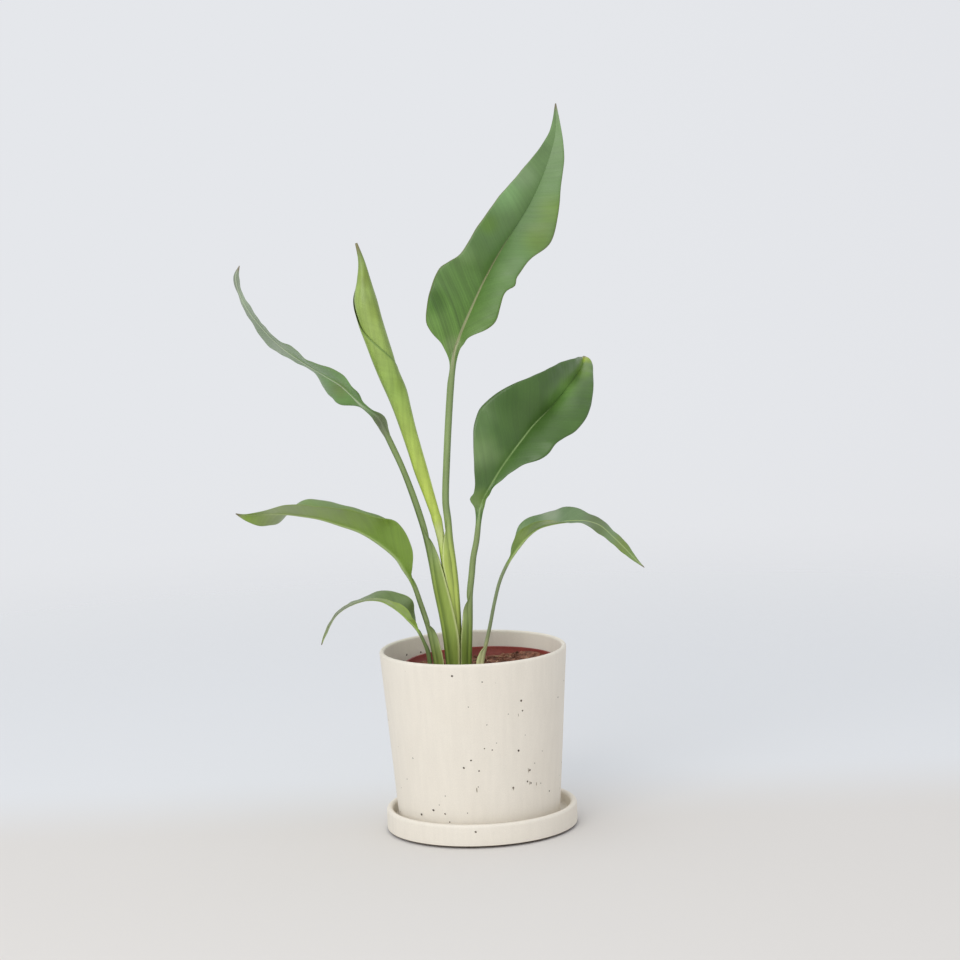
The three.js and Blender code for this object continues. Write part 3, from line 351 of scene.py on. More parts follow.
# Iron specks seen on the pot's front, the saucer and the pot's inside: degrees round from the
# front, height and size in millimetres
POT_SPECKS = [
    (-13, 138.2, 1.9), (5, 132.7, 1.2), (30, 114.4, 2.0), (31, 106.2, 1.6), (66, 108.9, 1.2),
    (5, 78.8, 1.2), (10, 77.1, 1.2), (28, 74.1, 2.0), (-4, 69.5, 1.5), (-9, 63.5, 1.8),
    (1, 60.7, 1.4), (37, 56.5, 1.5), (35, 47.6, 1.4), (24, 44.3, 1.8), (57, 34.6, 1.4),
    (-44, 22.4, 2.3), (-33, 27.6, 2.0), (-24, 25.2, 1.6), (-21, 18.8, 1.2), (-4, 113.0, 0.9),
    (7, 97.8, 0.9), (-47, 68.4, 1.1), (0, 47.7, 0.9), (38, 45.7, 1.2), (21, 105.0, 0.8),
    (-23, 40.1, 0.9), (-28, 32.3, 0.9), (41, 61.3, 0.9), (48, 69.6, 0.8), (-56, 49.4, 0.9),
    (-8, 26.5, 0.9), (33, 85.9, 0.8), (47, 43.5, 0.9), (13, 82.5, 0.8),
]
SAUCER_SPECKS = [(-4, 13.8, 1.8)]
INSIDE_SPECKS = [(231, 134, 1.8), (218, 133.5, 1.6), (235, 130, 1.0)]
# Others, placed at random
OTHER_SPECKS = 70
OTHER_SPECK_SEED = 15
OTHER_SPECK_SIZES = (0.6, 0.7, 0.7, 0.9, 1.0, 1.3, 1.5)
SPECK_CORNERS = 10
SPECK_MIDDLE_LIFT = 0.27
SPECK_EDGE_LIFT = 0.2
PIT_WIDTH = 0.16
# Two colours each, that the surface varies between
IRON = ((52, 40, 32), (88, 72, 56))
PIT = ((132, 120, 100), (150, 138, 118))
GLAZE = ((234, 228, 216), (227, 220, 207))
PLASTIC = ((132, 50, 42), (146, 58, 48))
SOIL = ((78, 50, 38), (150, 104, 84))
STRAW = ((150, 112, 84), (206, 176, 140))
ROOT = ((150, 124, 88), (196, 172, 132))
# The glaze's tiny specks, and the painted shadow along the bottom of the saucer's foot
FRECKLE = (150, 138, 118)
FOOT_SHADOW_TONE = (112, 96, 80)
# Short upright pits in the glaze: degrees round from the front, height and length
POT_PITS = [(36, 56.5, 4.5), (24, 44, 4), (37, 46, 3.5), (-1, 45, 5), (28, 103, 3), (43, 44, 3.5)]


# Geometry

def new_object(name, mesh, smooth=True):
    """A mesh object in the scene, with smooth faces unless said otherwise."""
    piece = bpy.data.objects.new(name, mesh)
    bpy.context.scene.collection.objects.link(piece)
    mesh.polygons.foreach_set("use_smooth", [smooth] * len(mesh.polygons))
    mesh.update()
    return piece


def add_piece(name, mesh, material, node=None, smooth=True):
    """Adds a piece that rides with the object, and stands for a node where one is named."""
    piece = new_object(name, mesh, smooth)
    mesh.materials.append(material)
    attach(piece, "root")
    if node is not None:
        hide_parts(node)


def mesh_from(name, places, faces):
    mesh = bpy.data.meshes.new(name)
    mesh.from_pydata((np.asarray(places) * MM).tolist(), [], faces)
    mesh.validate()
    return mesh


def add_values(mesh, values):
    """Stores one number a vertex under each name, for the materials to read."""
    for name, numbers in values.items():
        layer = mesh.attributes.new(name, "FLOAT", "POINT")
        layer.data.foreach_set("value", np.asarray(numbers, dtype=np.float32).ravel())


def turned(name, outline, centre=(0, 0), steps=TURN_STEPS):
    """A closed piece turned round Z from a closed outline of radius and height points."""
    places, firsts = [], []
    for radius, height in outline:
        firsts.append(len(places))
        for step in range(steps if radius else 1):
            angle = 2 * math.pi * step / steps
            places.append((
                centre[0] + radius * math.cos(angle),
                centre[1] + radius * math.sin(angle),
                height,
            ))
    faces = []
    for i, low in enumerate(firsts):
        j = (i + 1) % len(outline)
        high = firsts[j]
        for step in range(steps):
            after = (step + 1) % steps
            if outline[i][0] and outline[j][0]:
                faces.append((low + step, low + after, high + after, high + step))
            elif outline[j][0]:
                faces.append((low, high + after, high + step))
            elif outline[i][0]:
                faces.append((low + step, low + after, high))
    return mesh_from(name, places, faces)


def arc(radius, height, rounding, start, end, steps):
    """Points of a round between two angles in degrees, 0 outwards and 90 up."""
    points = []
    for step in range(steps + 1):
        angle = math.radians(start + (end - start) * step / steps)
        points.append((radius + rounding * math.cos(angle), height + rounding * math.sin(angle)))
    return points


def straight(start, end, steps):
    """Points between two places of an outline, without the first."""
    return [
        tuple(a + (b - a) * step / steps for a, b in zip(start, end))
        for step in range(1, steps + 1)
    ]


def smooth_rows(rows, step):
    """Samples of a smooth curve through rows, and how far along it each one lies."""
    rows = np.asarray(rows, dtype=float)
    knots = np.concatenate([[0], np.cumsum(np.linalg.norm(np.diff(rows[:, :3], axis=0), axis=1))])
    slopes = np.empty_like(rows)
    for i in range(len(rows)):
        before, after = max(i - 1, 0), min(i + 1, len(rows) - 1)
        slopes[i] = (rows[after] - rows[before]) / (knots[after] - knots[before])
    samples, reach = [], []
    for span in range(len(rows) - 1):
        gap = knots[span + 1] - knots[span]
        pieces = max(1, round(gap / step))
        for t in np.arange(pieces) / pieces:
            samples.append(
                rows[span] * (2 * t ** 3 - 3 * t ** 2 + 1)
                + rows[span + 1] * (3 * t ** 2 - 2 * t ** 3)
                + gap * slopes[span] * (t ** 3 - 2 * t ** 2 + t)
                + gap * slopes[span + 1] * (t ** 3 - t ** 2)
            )
            reach.append(knots[span] + gap * t)
    samples.append(rows[-1])
    reach.append(knots[-1])
    return np.array(samples), np.array(reach), knots


def frames_along(samples, reach, window=5.0):
    """The middle of each sample and its sideways and front directions, which turn slowly."""
    middle = samples[:, :3]
    ahead = np.stack([np.interp(reach + window, reach, middle[:, k]) for k in range(3)], axis=1)
    behind = np.stack([np.interp(reach - window, reach, middle[:, k]) for k in range(3)], axis=1)
    along = ahead - behind
    along /= np.linalg.norm(along, axis=1)[:, None]
    viewer = np.array([0.0, -1.0, 0.0])
    side = np.cross(along, viewer)
    side /= np.linalg.norm(side, axis=1)[:, None]
    front = np.cross(side, along)
    return middle, side, front


def ripple_of(reach, blade_start, blade_length, size, wavelength, phase):
    """A slow uneven ripple along a blade that fades at both of its ends."""
    t = reach - blade_start
    fade = np.clip(t / RIPPLE_FADES[0], 0, 1) * np.clip((blade_length - t) / RIPPLE_FADES[1], 0, 1)
    wave = np.sin(2 * math.pi * t / wavelength + phase)
    wave += 0.5 * np.sin(2 * math.pi * t / (0.43 * wavelength) + 2.1 * phase)
    return size * fade * wave


def half_section(samples, first, direction, ripple):
    """Points across one half of every sample: place, thickness above and below, share and distance."""
    rib = samples[:, 3:4]
    width = np.maximum(samples[:, first:first + 1], LEAST_WIDTH)
    turn = np.radians(samples[:, first + 1:first + 2])
    bend = np.radians(samples[:, first + 2:first + 3])
    stalk_like = np.clip(1 - (width / rib - 1) / 2, 0, 1)
    point = np.linspace(0, 1, HALF_POINTS + 1)[None, :]
    share = stalk_like * np.sin(math.pi / 2 * point) + (1 - stalk_like) * point ** CROWDING
    lift = bend * width * (share ** 2 - share) + ripple[:, None] * share ** 2
    place = np.stack([
        direction * np.cos(turn) * width * share - direction * np.sin(turn) * lift,
        np.sin(turn) * width * share + np.cos(turn) * lift,
    ], axis=2)
    depth = rib * np.sqrt(np.clip(1 - (share * width / rib) ** 2, 0, None))
    thin = np.clip((1.0 - share) * width / THINNING_WIDTH, 0.12, 1)
    edge = np.maximum(BLADE_THICKNESS / 2 * (1 - stalk_like) * thin, LEAST_HALF_THICKNESS)
    above = np.maximum(edge, depth * stalk_like)
    below = np.maximum(edge, depth)
    return place, above, below, share, width * share


def sheet_mesh(name, frames, place, above, below, values):
    """A closed thin solid through sections, with the same numbers on its upper and lower face."""
    middle, side, front = frames
    rows, count = place.shape[:2]
    run = np.empty_like(place)
    run[:, 1:-1] = place[:, 2:] - place[:, :-2]
    run[:, 0] = place[:, 1] - place[:, 0]
    run[:, -1] = place[:, -1] - place[:, -2]
    run /= np.maximum(np.linalg.norm(run, axis=2), 1e-9)[..., None]
    up = np.stack([-run[..., 1], run[..., 0]], axis=2)
    layers = []
    for offset in (above, -below):
        spot = place + up * offset[..., None]
        layers.append(
            middle[:, None] + side[:, None] * spot[..., :1] + front[:, None] * spot[..., 1:]
        )
    places = np.stack(layers, axis=1).reshape(-1, 3)
    faces = []

    def join(*corners):
        faces.append(tuple((row * 2 + layer) * count + i for row, layer, i in corners))

    for row in range(rows - 1):
        after = row + 1
        for i in range(count - 1):
            join((row, 0, i), (row, 0, i + 1), (after, 0, i + 1), (after, 0, i))
            join((row, 1, i), (after, 1, i), (after, 1, i + 1), (row, 1, i + 1))
        for i, near, far in ((0, 0, 1), (count - 1, 1, 0)):
            join((row, near, i), (after, near, i), (after, far, i), (row, far, i))
    last = rows - 1
    for i in range(count - 1):
        join((0, 0, i), (0, 1, i), (0, 1, i + 1), (0, 0, i + 1))
        join((last, 0, i), (last, 0, i + 1), (last, 1, i + 1), (last, 1, i))
    mesh = mesh_from(name, places, faces)
    doubled = {key: np.stack([number, number], axis=1) for key, number in values.items()}
    doubled["upper"] = np.stack([np.ones(place.shape[:2]), np.zeros(place.shape[:2])], axis=1)
    add_values(mesh, doubled)
    return mesh


def leaf_mesh(name, stalk, blade=(), ripple=(0, 30)):
    """A whole leaf from its foot in the soil to its tip, with its sheath, stalk and blade."""
    foot = (*stalk[0][:2], STALK_FOOT, *stalk[0][3:])
    samples, reach, knots = smooth_rows([foot, *stalk, *blade], ROW_STEP)
    start = knots[len(stalk)]
    length = max(knots[-1] - start, 1)
    halves = []
    for first, direction, phase in ((4, -1, 0.7), (7, 1, 2.6)):
        wave = ripple_of(reach, start, length, *ripple, phase)
        halves.append(half_section(samples, first, direction, wave))
    left, right = halves
    joined = [np.concatenate([a[:, :0:-1], b], axis=1) for a, b in zip(left, right)]
    place, above, below, share, across = joined
    at = (reach - start)[:, None] + 0 * share
    rib = samples[:, 3:4] + 0 * share
    slant = VEIN_SLANT + VEIN_FOOT_SLANT * np.exp(-np.maximum(at, 0) / VEIN_FOOT_REACH)
    values = {
        "at": at / length,
        "vein": at - slant * across - VEIN_BEND * across ** 2,
        "across": across,
        "edge": share,
        "rib": np.clip(1.25 - across / np.maximum(rib, 0.5), 0, 1),
        "height": samples[:, 2:3] + 0 * share,
        "half": np.sign(np.arange(share.shape[1]) - HALF_POINTS) + 0 * share,
    }
    frames = frames_along(samples, reach)
    return sheet_mesh(name, frames, place, above, below, values)


def roll_mesh(name):
    """The roll: one sheet wound up to 1.7 times round, and less and less towards its tip."""
    samples, reach, knots = smooth_rows(ROLL, ROLL_STEP)
    radius, margin = samples[:, 3:4], samples[:, 4:5]
    share = np.linspace(0, 1, ROLL_POINTS + 1)[None, :]
    angle = np.radians(ROLL_INNER_ANGLE * (1 - share) + margin * share)
    gap = ROLL_SHEET_GAP * np.minimum(1, radius / ROLL_FULL_RADIUS)
    spread = np.maximum(radius, 0.5) + gap * (2 * share - 1)
    place = np.stack([spread * np.cos(angle), spread * np.sin(angle)], axis=2)
    thin = np.clip((1 - share) * 25, 0.2, 1)
    half = BLADE_THICKNESS / 2 * thin + 0 * radius
    at = reach[:, None] / knots[-1] + 0 * angle
    around = np.radians(ROLL_INNER_ANGLE - margin) * (1 - share) * radius
    values = {
        "at": at,
        "vein": reach[:, None] - ROLL_VEIN_SLANT * around,
        "across": around,
        "edge": share + 0 * radius,
        "rib": 0 * at,
        "height": samples[:, 2:3] + 0 * angle,
    }
    return sheet_mesh(name, frames_along(samples, reach), place, half, half, values)


# Materials

def srgb(red, green, blue):
    """A colour given as it is seen, 0 to 255, as the shader wants it."""
    levels = []
    for part in (red, green, blue):
        level = part / 255
        levels.append(level / 12.92 if level <= 0.04045 else ((level + 0.055) / 1.055) ** 2.4)
    return (*levels, 1.0)


class Nodes:
    """A node tree and short ways to add to it. Each one returns an output of the new node."""

    def __init__(self, tree):
        self.tree = tree

    def feed(self, socket, value):
        if isinstance(value, bpy.types.NodeSocket):
            self.tree.links.new(value, socket)
        else:
            socket.default_value = value

    def add(self, kind, output, inputs, **settings):
        node = self.tree.nodes.new("ShaderNode" + kind)
        for key, value in settings.items():
            setattr(node, key, value)
        for key, value in inputs.items():
            self.feed(node.inputs[key], value)
        return node.outputs[output]

    def number(self, name):
        return self.add("Attribute", "Fac", {}, attribute_name=name)

    def place(self, kind="Object"):
        return self.add("TexCoord", kind, {})

    def axis(self, vector, name):
        return self.add("SeparateXYZ", name, {0: vector})

    def vector(self, x, y):
        return self.add("CombineXYZ", 0, {0: x, 1: y})

    def maths(self, operation, a, b):
        return self.add("Math", 0, {0: a, 1: b}, operation=operation)

    def times(self, a, b):
        return self.maths("MULTIPLY", a, b)

    def vector_maths(self, operation, a, b=(0, 0, 0), output="Vector"):
        return self.add("VectorMath", output, {0: a, 1: b}, operation=operation)

    def scaled(self, vector, x, y, z):
        return self.vector_maths("MULTIPLY", vector, (x, y, z))

    def fade(self, value, low, high, start=0.0, end=1.0):
        """A smooth step from start to end, as a value goes from low to high."""
        inputs = dict(enumerate((value, low, high, start, end)))
        return self.add("MapRange", 0, inputs, interpolation_type="SMOOTHSTEP")

    def mix(self, factor, a, b):
        return self.add("Mix", 2, {0: factor, 6: a, 7: b}, data_type="RGBA")

    def ramp(self, factor, stops):
        """A colour that runs through stops of position, from 0 to 1, and seen colour."""
        node = self.tree.nodes.new("ShaderNodeValToRGB")
        elements = node.color_ramp.elements
        elements[0].color = srgb(*stops[0][1])
        elements[1].color = srgb(*stops[-1][1])
        for position, colour in stops[1:-1]:
            elements.new(position).color = srgb(*colour)
        self.feed(node.inputs[0], factor)
        return node.outputs["Color"]

    def noise(self, vector, scale, detail=2.0, roughness=0.5):
        inputs = {"Vector": vector, "Scale": scale, "Detail": detail, "Roughness": roughness}
        return self.add("TexNoise", "Fac", inputs)

    def cells(self, vector, scale, output):
        return self.add("TexVoronoi", output, {"Vector": vector, "Scale": scale})

    def bump(self, height, distance, strength=1.0, under=None):
        inputs = {"Height": height, "Distance": distance, "Strength": strength}
        if under is not None:
            inputs["Normal"] = under
        return self.add("Bump", 0, inputs)


class Look(Nodes):
    """One material, with ways to make a colour darker, lighter or tinted in places."""

    def __init__(self, name, roughness, specular=0.5):
        self.material = bpy.data.materials.new(name)
        self.material.use_nodes = True
        super().__init__(self.material.node_tree)
        self.shader = self.tree.nodes["Principled BSDF"]
        self.shader.inputs["Roughness"].default_value = roughness
        self.shader.inputs["Specular IOR Level"].default_value = specular

    def shade(self, colour, amount, strength):
        """A colour made darker and lighter by an amount from 0 to 1."""
        level = self.fade(amount, 0.25, 0.75, 1 - strength, 1 + strength)
        return self.add("VectorMath", 0, {0: colour, "Scale": level}, operation="SCALE")

    def tinted_and_shaded(self, colour, place, x, z, reach, tint):
        """A colour multiplied by a tint in a soft round patch about x and z, in millimetres; the
        patches paint light and shade as well as the surface's own tone.
        """
        centre = (x * MM, 0, z * MM)
        distance = self.vector_maths("DISTANCE", self.scaled(place, 1, 0, 1), centre, "Value")
        near = self.fade(distance, reach * MM, 0.15 * reach * MM)
        strength = self.add("Mix", 1, {0: near, 4: (1, 1, 1), 5: tint}, data_type="VECTOR")
        return self.vector_maths("MULTIPLY", colour, strength)

    def done(self, colour, **others):
        """The material, with its shader fed a colour and what else is given."""
        for name, value in {"Base Color": colour, **others}.items():
            self.feed(self.shader.inputs[name], value)
        return self.material


def stoneware_look(name, seed, shadow_below=0):
    """Matt cream stoneware with a grain, faint streaks and tiny specks, and painted shadow along the
    bottom of its foot.
    """
    look = Look(name, 0.72, 0.35)
    place = look.place()
    # Painted shadow: darker colour below the given height, as the contact shadow under the foot
    foot_shadow = look.fade(look.axis(place, "Z"), (shadow_below + 0.3) * MM, shadow_below * MM)
    place = look.vector_maths("ADD", place, (seed, 0.3 * seed, 0.7 * seed))
    clouds = look.noise(place, 22, 3)
    streaks = look.noise(look.scaled(place, 1, 1, 0.1), 210, 2)
    grain = look.noise(place, 1300, 3, 0.65)
    colour = look.mix(clouds, srgb(*GLAZE[0]), srgb(*GLAZE[1]))
    colour = look.shade(colour, streaks, 0.018)
    colour = look.shade(colour, grain, 0.03)
    freckle = look.fade(look.cells(place, 240, "Distance"), 0.13, 0.07)
    chosen = look.fade(look.cells(place, 240, "Color"), 0.10, 0.06)
    colour = look.mix(look.times(freckle, chosen), colour, srgb(*FRECKLE))
    colour = look.mix(foot_shadow, colour, srgb(*FOOT_SHADOW_TONE))
    bump = look.bump(grain, 0.00006, 0.7)
    bump = look.bump(look.noise(place, 160, 2), 0.00012, 0.5, bump)
    return look.done(colour, Normal=bump, Roughness=look.fade(clouds, 0.3, 0.7, 0.66, 0.78))


def plain_look(name, dark, light, scale, roughness, depth, specular=0.5):
    """A surface that varies between two colours, with a fine unevenness."""
    look = Look(name, roughness, specular)
    place = look.place()
    broad = look.noise(place, scale, 4, 0.6)
    fine = look.noise(place, scale * 9, 3, 0.6)
    colour = look.mix(look.fade(broad, 0.35, 0.65), srgb(*dark), srgb(*light))
    colour = look.shade(colour, fine, 0.12)
    return look.done(colour, Normal=look.bump(fine, depth))


# Colours that the leaves share
GROOVE_SHADE_GREEN = (52, 82, 40)
FOOT_SHADE_GREEN = (86, 108, 48)
SHADED_SIDE_GREEN = (58, 84, 40)
SHEATH_RIM = (206, 216, 150)
DRY_TIP = (120, 104, 84)
# The heights in millimetres where the painted shade at a stalk's foot, low in the pot, starts and is
# darkest
FOOT_SHADE = (172, 132)
# How close the bands, veins and threads of a blade lie, their detail and how strongly they show
VEINS = ((0.09, 2, 0.06), (0.42, 1.5, 0.05), (1.3, 1, 0.03))


def veined(look, colour):
    """A blade's colour with its side veins, and the broad bands, veins and fine threads in it."""
    sweep = look.times(look.number("across"), 0.012)
    layers = []
    for closeness, detail, strength in VEINS:
        spot = look.vector(look.times(look.number("vein"), closeness), sweep)
        layers.append(look.noise(spot, 1, detail))
        colour = look.shade(colour, layers[-1], strength)
    return colour, *layers


def pleat_shaded(look, colour, at, bands, veins, strength):
    """A blade's colour with painted light and shade of deep pleating near the foot of its left half."""
    here = look.times(look.fade(at, 0.42, 0.12), look.fade(look.number("half"), 0.3, -0.3))
    folds = look.mix(here, (0.5, 0.5, 0.5, 1), look.mix(0.45, bands, veins))
    return look.shade(colour, folds, strength)


def ribbed(look, colour, at, rib, starts, ends, strength, width, groove_shade):
    """A blade's colour with a pale midrib between two shares of its length, and painted shade in its
    channel after.
    """
    midrib = look.number("rib")
    # Painted shade in the midrib's channel, after the pale midrib ends
    dark = look.times(look.fade(midrib, 0.5, 0.9), look.fade(at, 0.85, ends, 0.0, groove_shade))
    colour = look.mix(dark, colour, srgb(*GROOVE_SHADE_GREEN))
    pale = look.times(look.fade(at, ends + 0.08, ends - 0.08), look.fade(at, starts, starts + 0.08))
    pale = look.times(pale, look.fade(midrib, 0.9 - width, 1.3 - width, 0.0, strength))
    return look.mix(pale, colour, srgb(*rib))


def stalk_colour(look, place, petiole, sheath, sheath_top, foot, shaded_side):
    """A stalk over its sheath, with painted shade at its foot and on one side, fibres and a pale rim.
    """
    height = look.number("height")
    here = look.fade(height, sheath_top + 12, sheath_top - 38)
    colour = look.mix(here, srgb(*petiole), srgb(*sheath))
    # Painted shade at the foot of the stalk, low in the pot
    colour = look.mix(look.fade(height, *FOOT_SHADE, 0.0, foot), colour, srgb(*FOOT_SHADE_GREEN))
    # Painted shade on the side of the stalk turned from the light, chosen by the way its surface faces
    facing = look.times(look.axis(look.place("Normal"), "X"), shaded_side)
    colour = look.mix(look.fade(facing, 0.25, 0.85, 0.0, 0.4), colour, srgb(*SHADED_SIDE_GREEN))
    colour = look.shade(colour, look.noise(look.scaled(place, 1, 1, 0.06), 900, 2), 0.07)
    colour = look.shade(colour, look.noise(look.scaled(place, 1, 1, 0.4), 60, 2), 0.09)
    rim = look.fade(look.number("edge"), 0.86, 0.99, 0.0, 0.8)
    rim = look.times(rim, look.fade(height, sheath_top, sheath_top - 15))
    return look.mix(rim, colour, srgb(*SHEATH_RIM))


def leaf_look(name, upper, under, rib, margin, petiole, sheath, sheath_top, roughness=0.42,
              rib_starts=-0.2, rib_ends=1.2, rib_strength=0.8, rib_width=0.6, groove_shade=0.0,
              pleat_shading=0.0, foot=0.5, shaded_side=1, shade_and_tint_patches=()):
    """Leaf tissue with colours along the blade, side veins and a midrib, on its stalk, and painted
    light and shade.
    """
    look = Look(name, roughness)
    place = look.place()
    at = look.number("at")
    drift = look.times(look.maths("SUBTRACT", look.noise(place, 16, 2), 0.5), 0.3)
    along = look.maths("ADD", at, drift)
    colour = look.mix(look.number("upper"), look.ramp(along, under), look.ramp(along, upper))
    colour, bands, veins, threads = veined(look, colour)
    # Painted light and shade of the pleating near the blade's foot
    if pleat_shading:
        colour = pleat_shaded(look, colour, at, bands, veins, pleat_shading)
    colour = look.shade(colour, look.noise(place, 28, 3), 0.09)
    # Patches of painted light, shade and sheen, and of the leaf's own tone
    for tint in shade_and_tint_patches:
        colour = look.tinted_and_shaded(colour, place, *tint)
    colour = ribbed(
        look, colour, at, rib, rib_starts, rib_ends, rib_strength, rib_width, groove_shade)
    at_margin = look.fade(look.number("edge"), 0.965, 0.99, 0.0, 0.75)
    colour = look.mix(at_margin, colour, srgb(*margin))
    stalk = stalk_colour(look, place, petiole, sheath, sheath_top, foot, shaded_side)
    colour = look.mix(look.fade(at, -0.05, 0.03), stalk, colour)
    colour = look.mix(look.fade(at, 0.965, 0.995, 0.0, 0.85), colour, srgb(*DRY_TIP))
    bump = look.bump(veins, 0.0004, 0.5)
    bump = look.bump(threads, 0.00012, 0.5, bump)
    shine = look.fade(bands, 0.3, 0.7, roughness - 0.05, roughness + 0.08)
    return look.done(colour, Normal=bump, Roughness=shine)


# The heights in millimetres that the rolled leaf's colours run between, and those colours
ROLL_LOW = 132.0
ROLL_HIGH = 474.0
ROLL_COLOURS = [
    (0.0, (150, 182, 84)), (0.22, (178, 200, 96)), (0.40, (184, 202, 88)), (0.52, (166, 188, 84)),
    (0.66, (138, 166, 76)), (0.80, (150, 173, 88)), (0.93, (138, 160, 80)), (1.0, (112, 130, 74)),
]
# The painted shade down its two sides: how far the surface faces right where each one starts and
# is full, the heights where it starts and is full, its strength and colour
ROLL_SHADE_STRIPS = [
    (-0.6, -0.95, 400, 350, 0.55, (108, 130, 48)),
    (0.4, 0.9, 340, 380, 0.4, (104, 128, 56)),
]
ROLL_MARGIN_SHADE = (96, 128, 56)
ROLL_TIP = (130, 118, 84)
# Soft round patches on it, partly painted shade and light and partly its own tone: x, z, reach and what
# they multiply the colour by
ROLL_SHADE_AND_TINTS = [
    (-60, 422, 16, (0.85, 0.85, 0.6)), (-70, 448, 12, (0.85, 0.85, 0.6)),
    (-22, 239, 15, (1.2, 1.1, 2.2)), (-48, 362, 12, (0.9, 0.9, 0.75)),
]


def roll_look(name):
    """The rolled leaf: yellow at its foot, fresh green outside, painted shade down its sides, and a
    thin free margin painted darker as the shade along its seam.
    """
    look = Look(name, 0.4)
    place = look.place()
    height = look.number("height")
    above = look.maths("SUBTRACT", height, ROLL_LOW)
    colour = look.ramp(look.times(above, 1 / (ROLL_HIGH - ROLL_LOW)), ROLL_COLOURS)
    for closeness, detail, strength in ((0.12, 2, 0.04), (0.6, 1, 0.012)):
        spot = look.vector(look.times(look.number("vein"), closeness), look.times(height, 0.01))
        veins = look.noise(spot, 1, detail)
        colour = look.shade(colour, veins, strength)
    colour = look.shade(colour, look.noise(look.scaled(place, 1, 1, 0.08), 320, 2), 0.13)
    facing = look.axis(look.place("Normal"), "X")
    # Painted shade on the sides turned from the light, chosen by the way its surface faces
    for low, high, start, full, strength, green in ROLL_SHADE_STRIPS:
        strip = look.fade(height, start, full, 0.0, strength)
        colour = look.mix(look.times(look.fade(facing, low, high), strip), colour, srgb(*green))
    # Patches of painted shade and light, and of its own tone
    for tint in ROLL_SHADE_AND_TINTS:
        colour = look.tinted_and_shaded(colour, place, *tint)
    # Painted shade along the seam at the free margin
    at_margin = look.fade(look.number("edge"), 0.972, 0.992, 0.0, 0.7)
    colour = look.mix(at_margin, colour, srgb(*ROLL_MARGIN_SHADE))
    colour = look.mix(look.fade(height, 463, 473, 0.0, 0.8), colour, srgb(*ROLL_TIP))
    return look.done(colour, Normal=look.bump(veins, 0.00025, 0.5))


